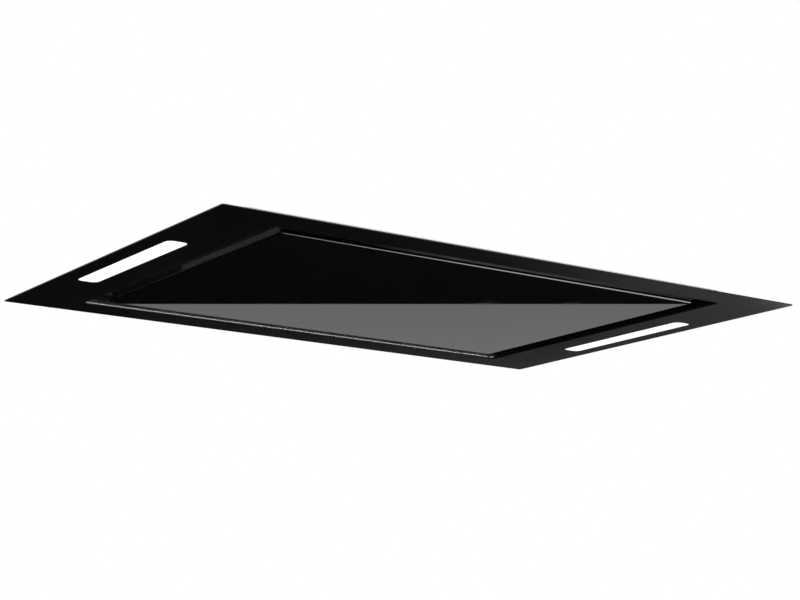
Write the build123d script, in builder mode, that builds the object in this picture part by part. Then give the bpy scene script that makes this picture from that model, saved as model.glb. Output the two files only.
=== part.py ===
"""A ceiling range hood with perimeter suction, in millimetres.

The origin is the middle of the front frame's underside and +Z points up into the ceiling.
X runs along the hood, and -Y is the side where the glass panel swings down.
"""
import os
from math import cos, radians, sin, sqrt

from build123d import *

os.makedirs("parts", exist_ok=True)

SIDES = {"left": -1, "right": 1}
ENDS = (-1, 1)

# Front frame, a sheet with the edge of its opening folded up
frame_length = 900.0
frame_width = 600.0
frame_sheet = 1.5
frame_corner = 3.0
frame_edge_rounding = 0.4
frame_end_margin = 96.0
frame_side_margin = 50.0
opening_corner = 6.0
fold_radius = 3.0

# Lamps, one in the middle of each short side
lamp_length = 253.0
lamp_width = 29.0
lamp_corner = 9.0
lamp_inset = 40.0
lens_recess = 0.2
lens_gap = 0.3
lens_flange = 4.0
lens_flange_thickness = 1.5
lamp_housing_wall = 3.0
lamp_housing_roof = 2.0
lamp_housing_height = 10.0
lamp_housing_gap = 0.5
lamp_tab_length = 16.0
lamp_tab_width = 20.0
lamp_tab_thickness = 2.0
board_thickness = 1.6
lamp_board_width = 24.0
lamp_board_end_gap = 5.0
chip_size = 5.0
chip_height = 0.8
chip_count = 18

# Weld studs on the frame, and their nuts
stud_radius = 2.0
stud_height = 6.5
stud_clearance = 0.2
nut_width = 7.0
nut_height = 3.2
nut_thread_gap = 0.05
tray_stud_count = 4
tray_stud_inset = 9.0
tray_stud_end_margin = 50.0

# Suction tray, which carries the casing over the frame
tray_sheet = 1.0
tray_return_gap = 0.5
tray_fold_gap = 0.2
tray_lamp_gap = 4.0
tray_hinge_gap = 0.9
tray_corner = 3.0
tray_end_ledge = 6.5
tray_side_ledge = 26.7
tray_foot = 15.0
tray_foot_end_margin = 34.0

# Casing
casing_sheet = 1.0
wall_foot = 12.0
wall_head = 14.0
wall_head_end_gap = 24.0
end_flange = 12.0

# Screws: one small size for most joints, and a larger one for the hangers
screw_radius = 2.0
screw_length = 8.0
screw_head_radius = 3.8
screw_head_height = 2.6
screw_head_taper = 20.0
hanger_screw_radius = 3.0
hanger_screw_length = 9.0
hanger_screw_head_radius = 5.0
hanger_screw_head_height = 4.0
wall_screw_end_margin = 76.5
wall_screw_count = 4
end_screw_lowest = 60.0
end_screw_top_margin = 30.0
end_screw_count = 3

# Shelf under the casing that carries the filters
shelf_height = 34.0
shelf_sheet = 1.0
shelf_gap = 0.1
shelf_upstand = 12.0
shelf_notch_gap = 0.3
shelf_screw_end_margin = 126.5
keeper_width = 120.0
keeper_lip = 9.0
keeper_gap = 0.1

# Grease filters, each a frame round a pad of metal mesh
filter_catch_gap = 4.0
filter_end_margin = 42.5
filter_side_margin = 100.5
filter_thickness = 8.0
filter_border = 14.0
filter_lip = 0.9
filter_skin = 6.0
pad_gap = 0.2
shelf_overlap = 10.0

# Filter latches, with their guides under the filters and the rail that they hook on
guide_length = 44.0
guide_width = 52.0
guide_sheet = 1.0
guide_rail = 2.0
guide_depth = 5.5
guide_end = 1.5
latch_length = 29.5
latch_thickness = 3.1
latch_gap = 0.2
latch_inset = 0.5
tongue_length = 10.5
tongue_width = 24.0
tongue_thickness = 2.0
pull_length = 16.0
pull_width = 30.0
pull_inset = 8.0
pull_depth = 1.7
spring_radius = 1.2
spring_wire = 0.25
spring_turns = 7
spring_end_gap = 0.2
catch_half_width = 18.0
catch_length = 60.0
catch_sheet = 1.5
catch_web = 2.0
catch_gap = 0.3
catch_head = 22.0

# Glass panel, with a slot all round it, and the tray bonded behind it
end_slot = 25.0
side_slot = 23.0
glass_thickness = 4.0
glass_lift = 1.0
glass_corner = 3.0
glass_edge_rounding = 1.9
tape_thickness = 1.0
tape_width = 20.0
tape_inset = 12.0
carrier_inset = 3.0
carrier_sheet = 1.0
carrier_height = 13.0
carrier_corner = 2.0

# Panel hinges along the far long side
hinge_end_margin = 96.0
hinge_wall_gap = 1.1
hinge_floor_gap = 0.2
knuckle_radius = 3.2
knuckle_length = 30.0
hinge_pin_radius = 1.6
hinge_running_gap = 0.05
hinge_side_gap = 0.3
lug_thickness = 3.0
leaf_thickness = 2.0
fixed_leaf_top_gap = 1.0
panel_leaf_length = 23.0
panel_leaf_wall_gap = 4.0
panel_leaf_margin = 5.0
lug_rise = 2.0
notch_margin = 7.5
notch_depth = 4.0
hinge_screw_offset = 8.0
hinge_screw_drop = 9.0

# Magnetic catches and rubber stops along the near long side
holder_length = 40.0
holder_height = 10.0
magnet_length = 28.0
magnet_depth = 14.0
magnet_pocket = 4.0
magnet_pocket_gap = 0.1
magnet_inset = 2.0
magnet_strike_gap = 0.3
strike_sheet = 1.5
strike_length = 32.0
strike_depth = 16.0
strike_wall_gap = 2.0
strike_rise = 0.7
holder_screw_offset = 12.0
holder_screw_drop = 3.0
stop_radius = 6.0
stop_end_margin = 26.0
stop_wall_gap = 1.0
stop_gap = 0.3

# Blower scroll. The spiral is three quarter arcs whose radius grows by one step each
spiral_step = 12.0
impeller_scroll_gap = 10.0
impeller_end_gap = 8.0
blower_floor_gap = 6.0
blower_headroom = 120.0
blower_sheet = 1.0
scroll_plate_margin = 6.0
scroll_flange = 16.0
inlet_reduction = 13.0
inlet_flange_width = 8.0
inlet_flange_thickness = 1.2
inlet_sheet = 1.5
inlet_depth = 5.0
blower_screw_inset = 15.0
blower_screw_offset = 8.0

# Impeller and motor on the X axis through the scroll
impeller_radius = 75.0
impeller_length = 134.0
blade_count = 36
blade_depth = 12.5
blade_thickness = 0.8
blade_bow = 2.0
blade_lead = 6.0
end_ring_depth = 4.0
end_ring_thickness = 1.5
impeller_disc = 2.0
hub_radius = 12.0
hub_length = 13.0
shaft_radius = 4.0
shaft_overhang = 3.0
shaft_end_gap = 0.2
motor_radius = 42.0
motor_length = 50.0
motor_disc_gap = 15.0
motor_wall = 2.0
motor_end_wall = 3.0
bearing_radius = 11.0
bearing_width = 7.0
bearing_seat_wall = 3.0
bearing_running_gap = 0.05
shaft_hole_gap = 1.0
winding_gap = 1.0
winding_inner_radius = 24.0
rotor_air_gap = 0.5
arm_count = 3
arm_width = 16.0
arm_thickness = 2.0
arm_inset = 5.0
arm_first_angle = 90.0
arm_end_radius = 9.0
bracket_hub_radius = 20.0
mount_radius = 8.0
mount_height = 3.0

# Duct collar with its non-return flaps
collar_radius = 75.0
collar_sheet = 1.0
collar_height = 40.0
collar_flange_width = 17.0
collar_flange_thickness = 1.2
collar_screw_count = 4
collar_screw_first_angle = 45.0
flap_seat_width = 4.0
flap_seat_height = 1.5
flap_gap = 0.3
flap_rim_gap = 2.5
flap_thickness = 1.2
flap_axis_height = 23.0
flap_edge_gap = 0.6
flap_pin_radius = 1.5
flap_pin_gap = 0.05
flap_knuckle_radius = 3.0
flap_knuckle_length = 14.0
flap_knuckle_spread = 30.0

# Control box on the casing
box_end_margin = 25.5
box_length = 120.0
box_width = 90.0
box_wall = 2.0
box_corner = 6.0
lid_thickness = 2.0
lid_lip = 3.0
lid_lip_gap = 0.3
boss_radius = 4.5
boss_inset = 8.0
box_screw_inset = 18.0
post_radius = 3.0
post_height = 6.0
post_pin_radius = 1.2
post_inset = 6.0
control_board_length = 66.0
control_board_width = 66.0
board_boss_gap = 0.5
driver_length = 50.0
driver_width = 22.0
driver_height = 16.0
driver_offset = 18.0
capacitor_radius = 11.0
capacitor_length = 45.0
capacitor_offset = 14.0
capacitor_lid_gap = 2.4
terminal_length = 16.0
terminal_width = 44.0
terminal_height = 14.0
terminal_nut_gap = 4.0
terminal_pitch = 10.0
terminal_count = 4
terminal_hole_radius = 2.0
gland_bore = 4.0
gland_thread_radius = 6.0
gland_flange_radius = 9.0
gland_cap_radius = 8.0
gland_nut_length = 4.0
gland_body_length = 8.0
gland_cap_length = 6.0
gland_cap_taper = 15.0
gland_height = 17.0

# Hanger brackets for threaded rods
hanger_reach = 22.5
hanger_side_margin = 77.5
hanger_hole_radius = 4.5
hanger_sheet = 3.0
hanger_width = 50.0
hanger_drop = 40.0
hanger_top_drop = 15.0
hanger_margin = 15.0
hanger_screw_spread = 28.0
hanger_screw_drop = 25.0

# Frame opening, glass and carrier
opening_length = frame_length - 2 * frame_end_margin
opening_width = frame_width - 2 * frame_side_margin
glass_length = opening_length - 2 * end_slot
glass_width = opening_width - 2 * side_slot
glass_top = glass_lift + glass_thickness
carrier_length = glass_length - 2 * carrier_inset
carrier_width = glass_width - 2 * carrier_inset
carrier_bottom = glass_top + tape_thickness
carrier_floor = carrier_bottom + carrier_sheet
carrier_top = carrier_bottom + carrier_height

# Lamps
lamp_x = frame_length / 2 - lamp_inset
lens_flange_width = lamp_width + 2 * lens_flange
lens_flange_length = lamp_length + 2 * lens_flange
lamp_cavity_width = lens_flange_width + 2 * lamp_housing_gap
lamp_cavity_length = lens_flange_length + 2 * lamp_housing_gap
lamp_housing_width = lamp_cavity_width + 2 * lamp_housing_wall
lamp_housing_length = lamp_cavity_length + 2 * lamp_housing_wall
lamp_stud_y = lamp_housing_length / 2 + lamp_tab_length / 2
lamp_board_bottom = frame_sheet + lamp_housing_height - lamp_housing_roof - board_thickness
chip_pitch = lamp_length / chip_count

# Suction tray and casing, between the lamps and round the opening
hinge_z = carrier_floor + hinge_floor_gap + knuckle_radius
ledge_bottom = hinge_z + knuckle_radius + tray_hinge_gap
ledge_top = ledge_bottom + tray_sheet
return_height = ledge_bottom - tray_return_gap
tray_half_length = lamp_x - lamp_housing_width / 2 - tray_lamp_gap
tray_half_width = opening_width / 2 + fold_radius + tray_fold_gap + tray_sheet
tray_foot_length = 2 * (tray_half_length - tray_foot_end_margin)
tray_stud_y = tray_half_width + tray_stud_inset
tray_stud_spacing = (tray_foot_length - 2 * tray_stud_end_margin) / (tray_stud_count - 1)
casing_length = 2 * (tray_half_length - tray_end_ledge)
casing_width = 2 * (tray_half_width - tray_side_ledge)
casing_inner_x = casing_length / 2 - casing_sheet
casing_inner_y = casing_width / 2 - casing_sheet

# Blower: the throat is as deep as the collar is wide, and the collar is in the middle of the casing
spiral_radius = impeller_radius + impeller_scroll_gap
middle_radius = spiral_radius + spiral_step
last_radius = middle_radius + spiral_step
spiral_shift = spiral_step / 2
throat_depth = 2 * collar_radius
throat_outer = last_radius + spiral_shift
throat_inner = throat_outer - throat_depth
axis_y = throat_depth / 2 - throat_outer
axis_z = shelf_height + shelf_sheet + blower_floor_gap + scroll_plate_margin + spiral_shift + middle_radius
casing_height = axis_z + blower_headroom
roof_bottom = casing_height - casing_sheet
scroll_half = impeller_length / 2 + impeller_end_gap
impeller_half = impeller_length / 2
inlet_radius = impeller_radius - inlet_reduction
arm_radius = spiral_radius - arm_inset
motor_front = -(impeller_disc / 2 + motor_disc_gap)
motor_rear = motor_front - motor_length

# Filters, latches and catch
filter_inboard = catch_half_width + filter_catch_gap
filter_outboard = casing_inner_x - filter_end_margin
filter_length = filter_outboard - filter_inboard
filter_width = 2 * (casing_inner_y - filter_side_margin)
filter_offset = (filter_inboard + filter_outboard) / 2
filter_bottom = shelf_height - filter_thickness
guide_bottom = filter_bottom - guide_depth
guide_stop = filter_inboard + guide_length
latch_top = filter_bottom - guide_sheet - latch_gap
latch_bottom = latch_top - latch_thickness
latch_start = filter_inboard + latch_inset
latch_end = latch_start + latch_length
catch_top = latch_top - tongue_thickness - catch_gap

# Hinges, magnetic catches and stops
hinge_y = casing_inner_y - hinge_wall_gap
hinge_leaf_top = shelf_height - fixed_leaf_top_gap
hinge_screw_z = hinge_leaf_top - hinge_screw_drop
hinge_xs = [end * (carrier_length / 2 - hinge_end_margin) for end in ENDS]
strike_top = carrier_top + strike_rise
magnet_bottom = strike_top + magnet_strike_gap
magnet_y = carrier_width / 2 - carrier_sheet - strike_wall_gap - strike_depth / 2
holder_bottom = shelf_height - holder_height
holder_screw_z = shelf_height - holder_screw_drop
holder_depth = casing_inner_y - magnet_y + magnet_depth / 2 + magnet_inset
holder_y = casing_inner_y - holder_depth / 2
stop_x = carrier_length / 2 - stop_end_margin
stop_y = casing_inner_y - stop_wall_gap - stop_radius

# Collar and flaps
collar_inner_radius = collar_radius - collar_sheet
collar_flange_radius = collar_radius + collar_flange_width
collar_screw_radius = (collar_radius + collar_flange_radius) / 2
flap_radius = collar_inner_radius - flap_rim_gap
flap_axis_z = casing_height + flap_axis_height
flap_bottom = flap_axis_z - flap_thickness / 2

# Control box
box_height = box_wall + post_height + board_thickness + 2 * capacitor_radius + capacitor_lid_gap
box_x = box_length / 2 + box_end_margin - casing_length / 2
box_floor = casing_height + box_wall
box_rim = casing_height + box_height
board_bottom = box_floor + post_height
board_top = board_bottom + board_thickness
board_x = box_x + box_length / 2 - boss_inset - boss_radius - board_boss_gap - control_board_length / 2
terminal_x = box_x - box_length / 2 + box_wall + gland_nut_length + terminal_nut_gap + terminal_length / 2
gland_z = casing_height + gland_height

# Screws and hangers
head_screw_y = casing_inner_y - wall_head / 2
head_screw_spacing = 2 * (casing_inner_x - wall_screw_end_margin) / (wall_screw_count - 1)
end_screw_x = casing_inner_x - end_flange / 2
end_screw_pitch = (casing_height - end_screw_top_margin - end_screw_lowest) / (end_screw_count - 1)
shelf_screw_x = casing_inner_x - shelf_screw_end_margin
shelf_screw_z = shelf_height + shelf_upstand / 2 + shelf_sheet
hanger_x = casing_length / 2 + hanger_reach
hanger_y = casing_width / 2 - hanger_side_margin
hanger_top = casing_height - hanger_top_drop



def across_x(x, y=0, z=0):
    """Plane across the X axis at a place, with its own x along Y and its own y along Z."""
    return Plane(origin=(x, y, z), x_dir=(0, 1, 0), z_dir=(1, 0, 0))


def spread(count, spacing):
    """Places of a row of equal steps about zero."""
    return [(index - (count - 1) / 2) * spacing for index in range(count)]


def ring_of(count, radius, first_angle):
    """Places of an even ring about zero."""
    angles = [radians(first_angle + index * 360 / count) for index in range(count)]
    return [(radius * cos(angle), radius * sin(angle)) for angle in angles]


AXLE = across_x(0, axis_y, axis_z)

lamp_studs = [(side * lamp_x, end * lamp_stud_y) for side in ENDS for end in ENDS]
tray_studs = [(x, end * tray_stud_y) for end in ENDS for x in spread(tray_stud_count, tray_stud_spacing)]
head_screws = [(x, end * head_screw_y) for end in ENDS for x in spread(wall_screw_count, head_screw_spacing)]
blower_screws = [
    (side * (scroll_half + blower_screw_offset), end * (throat_depth / 2 - blower_screw_inset))
    for side in ENDS
    for end in ENDS
]
collar_screws = ring_of(collar_screw_count, collar_screw_radius, collar_screw_first_angle)
box_screws = [
    (box_x + side * (box_length / 2 - box_screw_inset), end * (box_width / 2 - boss_inset))
    for side in ENDS
    for end in ENDS
]
lid_screws = [
    (box_x + side * (box_length / 2 - boss_inset), end * (box_width / 2 - boss_inset))
    for side in ENDS
    for end in ENDS
]
arm_angles = [arm_first_angle + index * 360 / arm_count for index in range(arm_count)]
arm_ends = ring_of(arm_count, arm_radius, arm_first_angle)
end_screws = [
    (side * end_screw_x, end_screw_lowest + index * end_screw_pitch)
    for side in ENDS
    for index in range(end_screw_count)
]
shelf_screws = [(side * shelf_screw_x, shelf_screw_z) for side in ENDS]
wall_screws = end_screws + shelf_screws
hinge_screws = [(x + side * hinge_screw_offset, hinge_screw_z) for x in hinge_xs for side in ENDS]
holder_screws = [(x + side * holder_screw_offset, holder_screw_z) for x in hinge_xs for side in ENDS]
hanger_screws = [
    (side * hanger_y + end * hanger_screw_spread / 2, hanger_top - hanger_screw_drop)
    for side in ENDS
    for end in ENDS
]


def wall_plane(direction):
    """Plane on the outside of a long casing wall, facing out, with its own x to the right and y up."""
    return Plane(origin=(0, direction * casing_width / 2, 0), x_dir=(1, 0, 0), z_dir=(0, direction, 0))


def seen_from(direction, points):
    """Points of a long wall in the plane of that wall, whose y axis points down on the far side."""
    return [(x, -direction * z) for x, z in points]


# Front frame
with BuildPart() as front_frame:
    with BuildSketch():
        RectangleRounded(frame_length, frame_width, frame_corner)
        RectangleRounded(opening_length, opening_width, opening_corner, mode=Mode.SUBTRACT)
    extrude(amount=frame_sheet)
    with BuildSketch():
        RectangleRounded(
            opening_length + 2 * frame_sheet, opening_width + 2 * frame_sheet, opening_corner + frame_sheet
        )
        RectangleRounded(opening_length, opening_width, opening_corner, mode=Mode.SUBTRACT)
    extrude(amount=return_height)
    # The fold keeps the sheet's thickness: a small radius above and a larger one below
    upper_face = front_frame.faces().filter_by(Axis.Z).sort_by(SortBy.AREA)[-2:].sort_by(Axis.Z)[-1]
    fillet(upper_face.inner_wires()[0].edges(), fold_radius - frame_sheet)
    lower_face = front_frame.faces().sort_by(Axis.Z)[0]
    fillet(lower_face.inner_wires()[0].edges(), fold_radius)
    lower_face = front_frame.faces().sort_by(Axis.Z)[0]
    fillet(lower_face.outer_wire().edges(), frame_edge_rounding)
    with BuildSketch():
        with Locations((-lamp_x, 0), (lamp_x, 0)):
            RectangleRounded(lamp_width, lamp_length, lamp_corner)
    extrude(amount=frame_sheet, mode=Mode.SUBTRACT)
    with BuildSketch(Plane.XY.offset(frame_sheet)):
        with Locations(*lamp_studs, *tray_studs):
            Circle(stud_radius)
    extrude(amount=stud_height)
front_frame.part.label = "front_frame"
export_step(front_frame.part, "parts/front_frame.step")

with BuildPart() as frame_nuts:
    with BuildSketch(Plane.XY.offset(frame_sheet + lamp_tab_thickness)):
        with Locations(*lamp_studs):
            RegularPolygon(nut_width / 2, 6, major_radius=False)
            Circle(stud_radius + nut_thread_gap, mode=Mode.SUBTRACT)
    extrude(amount=nut_height)
    with BuildSketch(Plane.XY.offset(frame_sheet + tray_sheet)):
        with Locations(*tray_studs):
            RegularPolygon(nut_width / 2, 6, major_radius=False)
            Circle(stud_radius + nut_thread_gap, mode=Mode.SUBTRACT)
    extrude(amount=nut_height)
frame_nuts.part.label = "frame_nuts"
export_step(frame_nuts.part, "parts/frame_nuts.step")

# Lamps
for side, direction in SIDES.items():
    lamp_centre = (direction * lamp_x, 0)
    with BuildPart() as led_lens:
        with BuildSketch(Plane.XY.offset(lens_recess)):
            with Locations(lamp_centre):
                RectangleRounded(
                    lamp_width - 2 * lens_gap, lamp_length - 2 * lens_gap, lamp_corner - lens_gap
                )
        extrude(amount=frame_sheet - lens_recess)
        with BuildSketch(Plane.XY.offset(frame_sheet)):
            with Locations(lamp_centre):
                RectangleRounded(lens_flange_width, lens_flange_length, lamp_corner + lens_flange)
        extrude(amount=lens_flange_thickness)
    led_lens.part.label = f"led_lens_{side}"
    export_step(led_lens.part, f"parts/led_lens_{side}.step")

    with BuildPart() as led_housing:
        with BuildSketch(Plane.XY.offset(frame_sheet)):
            with Locations(lamp_centre):
                RectangleRounded(lamp_housing_width, lamp_housing_length, lamp_corner)
        extrude(amount=lamp_housing_height)
        with BuildSketch(Plane.XY.offset(frame_sheet)):
            with Locations(lamp_centre):
                RectangleRounded(lamp_cavity_width, lamp_cavity_length, lamp_corner - lamp_housing_wall)
        extrude(amount=lamp_housing_height - lamp_housing_roof, mode=Mode.SUBTRACT)
        with BuildSketch(Plane.XY.offset(frame_sheet)):
            with Locations(*[(direction * lamp_x, end * lamp_stud_y) for end in ENDS]):
                RectangleRounded(lamp_tab_width, lamp_tab_length, stud_radius)
                Circle(stud_radius + stud_clearance, mode=Mode.SUBTRACT)
        extrude(amount=lamp_tab_thickness)
    led_housing.part.label = f"led_housing_{side}"
    export_step(led_housing.part, f"parts/led_housing_{side}.step")

with BuildPart() as led_boards:
    with BuildSketch(Plane.XY.offset(lamp_board_bottom)):
        with Locations((-lamp_x, 0), (lamp_x, 0)):
            Rectangle(lamp_board_width, lamp_cavity_length - 2 * lamp_board_end_gap)
    extrude(amount=board_thickness)
led_boards.part.label = "led_boards"
export_step(led_boards.part, "parts/led_boards.step")

with BuildPart() as led_chips:
    with BuildSketch(Plane.XY.offset(lamp_board_bottom - chip_height)):
        with Locations(*[(side * lamp_x, y) for side in ENDS for y in spread(chip_count, chip_pitch)]):
            Rectangle(chip_size, chip_size)
    extrude(amount=chip_height)
led_chips.part.label = "led_chips"
export_step(led_chips.part, "parts/led_chips.step")

# Suction tray: a rim round the frame's return, a ledge for the casing and two feet
with BuildPart() as suction_tray:
    with BuildSketch(Plane.XY.offset(frame_sheet)):
        RectangleRounded(2 * tray_half_length, 2 * tray_half_width, tray_corner)
    extrude(amount=ledge_top - frame_sheet)
    with BuildSketch(Plane.XY.offset(frame_sheet)):
        RectangleRounded(
            2 * (tray_half_length - tray_sheet), 2 * (tray_half_width - tray_sheet), tray_corner - tray_sheet
        )
    extrude(amount=ledge_bottom - frame_sheet, mode=Mode.SUBTRACT)
    with BuildSketch(Plane.XY.offset(ledge_bottom)):
        Rectangle(2 * casing_inner_x, 2 * casing_inner_y)
    extrude(amount=tray_sheet, mode=Mode.SUBTRACT)
    with BuildSketch(Plane.XY.offset(frame_sheet)):
        with Locations(*[(0, end * (tray_half_width + tray_foot / 2)) for end in ENDS]):
            Rectangle(tray_foot_length, tray_foot)
        with Locations(*tray_studs):
            Circle(stud_radius + stud_clearance, mode=Mode.SUBTRACT)
    extrude(amount=tray_sheet)
suction_tray.part.label = "suction_tray"
export_step(suction_tray.part, "parts/suction_tray.step")

# Casing: two long walls, two ends and a top
for node, direction in (("casing_front", -1), ("casing_rear", 1)):
    own_screws = holder_screws if direction < 0 else hinge_screws
    with BuildPart() as long_wall:
        with BuildSketch(Plane.XY.offset(ledge_top)):
            with Locations((0, direction * (casing_width - casing_sheet) / 2)):
                Rectangle(casing_length, casing_sheet)
        extrude(amount=roof_bottom - ledge_top)
        with BuildSketch(Plane.XY.offset(ledge_top)):
            with Locations((0, direction * (casing_width + wall_foot) / 2)):
                Rectangle(casing_length, wall_foot)
        extrude(amount=casing_sheet)
        with BuildSketch(Plane.XY.offset(roof_bottom)):
            with Locations((0, direction * head_screw_y)):
                Rectangle(casing_length - 2 * wall_head_end_gap, wall_head)
            with Locations(*[(x, y) for x, y in head_screws if y * direction > 0]):
                Circle(screw_radius, mode=Mode.SUBTRACT)
        extrude(amount=-casing_sheet)
        with BuildSketch(wall_plane(direction)):
            with Locations(*seen_from(direction, wall_screws + own_screws)):
                Circle(screw_radius)
        extrude(amount=-casing_sheet, mode=Mode.SUBTRACT)
    long_wall.part.label = node
    export_step(long_wall.part, f"parts/{node}.step")

for side, direction in SIDES.items():
    with BuildPart() as end_wall:
        with BuildSketch(Plane.XY.offset(ledge_top)):
            with Locations((direction * (casing_length - casing_sheet) / 2, 0)):
                Rectangle(casing_sheet, 2 * casing_inner_y)
            for end in ENDS:
                with Locations((direction * end_screw_x, end * (casing_inner_y - casing_sheet / 2))):
                    Rectangle(end_flange, casing_sheet)
        extrude(amount=roof_bottom - ledge_top)
        for end in ENDS:
            with BuildSketch(wall_plane(end)):
                with Locations(*seen_from(end, wall_screws)):
                    Circle(screw_radius)
            extrude(amount=-2 * casing_sheet, mode=Mode.SUBTRACT)
        with BuildSketch(across_x(direction * casing_length / 2)):
            with Locations(*hanger_screws):
                Circle(hanger_screw_radius)
        extrude(amount=-direction * casing_sheet, mode=Mode.SUBTRACT)
    end_wall.part.label = f"casing_{side}"
    export_step(end_wall.part, f"parts/casing_{side}.step")

with BuildPart() as casing_roof:
    with BuildSketch(Plane.XY.offset(roof_bottom)):
        Rectangle(casing_length, casing_width)
        Circle(collar_inner_radius, mode=Mode.SUBTRACT)
        with Locations(*head_screws, *blower_screws, *collar_screws, *box_screws):
            Circle(screw_radius, mode=Mode.SUBTRACT)
    extrude(amount=casing_sheet)
casing_roof.part.label = "casing_top"
export_step(casing_roof.part, "parts/casing_top.step")

# Filter shelf: a plate with two openings, upstands to screw it in and a keeper under each end
with BuildPart() as filter_plate:
    with BuildSketch(Plane.XY.offset(shelf_height)):
        Rectangle(
            2 * (casing_inner_x - shelf_gap), 2 * (casing_inner_y - casing_sheet - shelf_notch_gap)
        )
        Rectangle(2 * (casing_inner_x - end_flange - shelf_notch_gap), 2 * (casing_inner_y - shelf_gap))
        with Locations((-filter_offset, 0), (filter_offset, 0)):
            Rectangle(
                filter_length - 2 * shelf_overlap, filter_width - 2 * shelf_overlap, mode=Mode.SUBTRACT
            )
    extrude(amount=shelf_sheet)
    with BuildSketch(Plane.XY.offset(shelf_height)):
        for end in ENDS:
            with Locations((0, end * (casing_inner_y - shelf_gap - shelf_sheet / 2))):
                Rectangle(2 * (casing_inner_x - end_flange - shelf_notch_gap), shelf_sheet)
    extrude(amount=shelf_sheet + shelf_upstand)
    for end in ENDS:
        with BuildSketch(wall_plane(end)):
            with Locations(*seen_from(end, shelf_screws)):
                Circle(screw_radius)
        extrude(amount=-(casing_sheet + shelf_gap + shelf_sheet), mode=Mode.SUBTRACT)
    for side in ENDS:
        keeper_wall_x = filter_outboard + keeper_gap + shelf_sheet / 2
        lip_x = filter_outboard + keeper_gap + shelf_sheet - keeper_lip / 2
        lip_top = filter_bottom - keeper_gap
        with BuildSketch(Plane.XY.offset(lip_top - shelf_sheet)):
            with Locations((side * keeper_wall_x, 0)):
                Rectangle(shelf_sheet, keeper_width)
        extrude(amount=shelf_height - lip_top + shelf_sheet)
        with BuildSketch(Plane.XY.offset(lip_top - shelf_sheet)):
            with Locations((side * lip_x, 0)):
                Rectangle(keeper_lip, keeper_width)
        extrude(amount=shelf_sheet)
filter_plate.part.label = "filter_plate"
export_step(filter_plate.part, "parts/filter_plate.step")

with BuildPart() as filter_catch:
    with BuildSketch(Plane.XY.offset(catch_top - catch_sheet)):
        Rectangle(2 * catch_half_width, catch_length)
    extrude(amount=catch_sheet)
    with BuildSketch(Plane.XY.offset(catch_top)):
        Rectangle(catch_web, catch_length)
    extrude(amount=shelf_height - catch_top)
    with BuildSketch(Plane.XY.offset(shelf_height - catch_sheet)):
        Rectangle(catch_head, catch_length)
    extrude(amount=catch_sheet)
filter_catch.part.label = "filter_catch"
export_step(filter_catch.part, "parts/filter_catch.step")

# Grease filters with their latches
for side, direction in SIDES.items():
    pad_length = filter_length - 2 * filter_skin
    pad_width = filter_width - 2 * filter_skin
    guide_x = filter_inboard + guide_length / 2
    rail_y = guide_width / 2 - guide_rail / 2

    with BuildPart() as filter_frame:
        with BuildSketch(Plane.XY.offset(filter_bottom)):
            with Locations((direction * filter_offset, 0)):
                RectangleRounded(filter_length, filter_width, filter_skin)
                Rectangle(
                    filter_length - 2 * filter_border, filter_width - 2 * filter_border, mode=Mode.SUBTRACT
                )
        extrude(amount=filter_thickness)
        with BuildSketch(Plane.XY.offset(filter_bottom + filter_lip)):
            with Locations((direction * filter_offset, 0)):
                Rectangle(pad_length + 2 * pad_gap, pad_width + 2 * pad_gap)
        extrude(amount=filter_thickness - 2 * filter_lip, mode=Mode.SUBTRACT)
        # The latch guide: a plate with two lipped rails and an end stop
        with BuildSketch(Plane.XY.offset(filter_bottom - guide_sheet)):
            with Locations((direction * guide_x, 0)):
                Rectangle(guide_length, guide_width)
        extrude(amount=guide_sheet)
        with BuildSketch(Plane.XY.offset(guide_bottom)):
            with Locations((direction * guide_x, rail_y), (direction * guide_x, -rail_y)):
                Rectangle(guide_length, guide_rail)
            with Locations((direction * (guide_stop + guide_end / 2), 0)):
                Rectangle(guide_end, guide_width)
        extrude(amount=filter_bottom - guide_bottom)
        lip_y = guide_width / 2 - guide_rail
        with BuildSketch(Plane.XY.offset(guide_bottom)):
            with Locations((direction * guide_x, lip_y), (direction * guide_x, -lip_y)):
                Rectangle(guide_length, 2 * guide_rail)
        extrude(amount=guide_sheet)
    filter_frame.part.label = f"filter_frame_{side}"
    export_step(filter_frame.part, f"parts/filter_frame_{side}.step")

    with BuildPart() as filter_mesh:
        with BuildSketch(Plane.XY.offset(filter_bottom + filter_lip + pad_gap / 2)):
            with Locations((direction * filter_offset, 0)):
                Rectangle(pad_length, pad_width)
        extrude(amount=filter_thickness - 2 * filter_lip - pad_gap)
    filter_mesh.part.label = f"filter_mesh_{side}"
    export_step(filter_mesh.part, f"parts/filter_mesh_{side}.step")

    with BuildPart() as filter_latch:
        with BuildSketch(Plane.XY.offset(latch_bottom)):
            with Locations((direction * (latch_start + latch_length / 2), 0)):
                Rectangle(latch_length, guide_width - 2 * guide_rail - 2 * latch_gap)
        extrude(amount=latch_thickness)
        with BuildSketch(Plane.XY.offset(latch_top - tongue_thickness)):
            with Locations((direction * (latch_start - tongue_length / 2), 0)):
                Rectangle(tongue_length, tongue_width)
        extrude(amount=tongue_thickness)
        with BuildSketch(Plane.XY.offset(latch_bottom - pull_depth)):
            with Locations((direction * (latch_start + pull_inset + pull_length / 2), 0)):
                RectangleRounded(pull_length, pull_width, latch_thickness)
        extrude(amount=pull_depth)
    filter_latch.part.label = f"filter_latch_{side}"
    export_step(filter_latch.part, f"parts/filter_latch_{side}.step")

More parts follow.
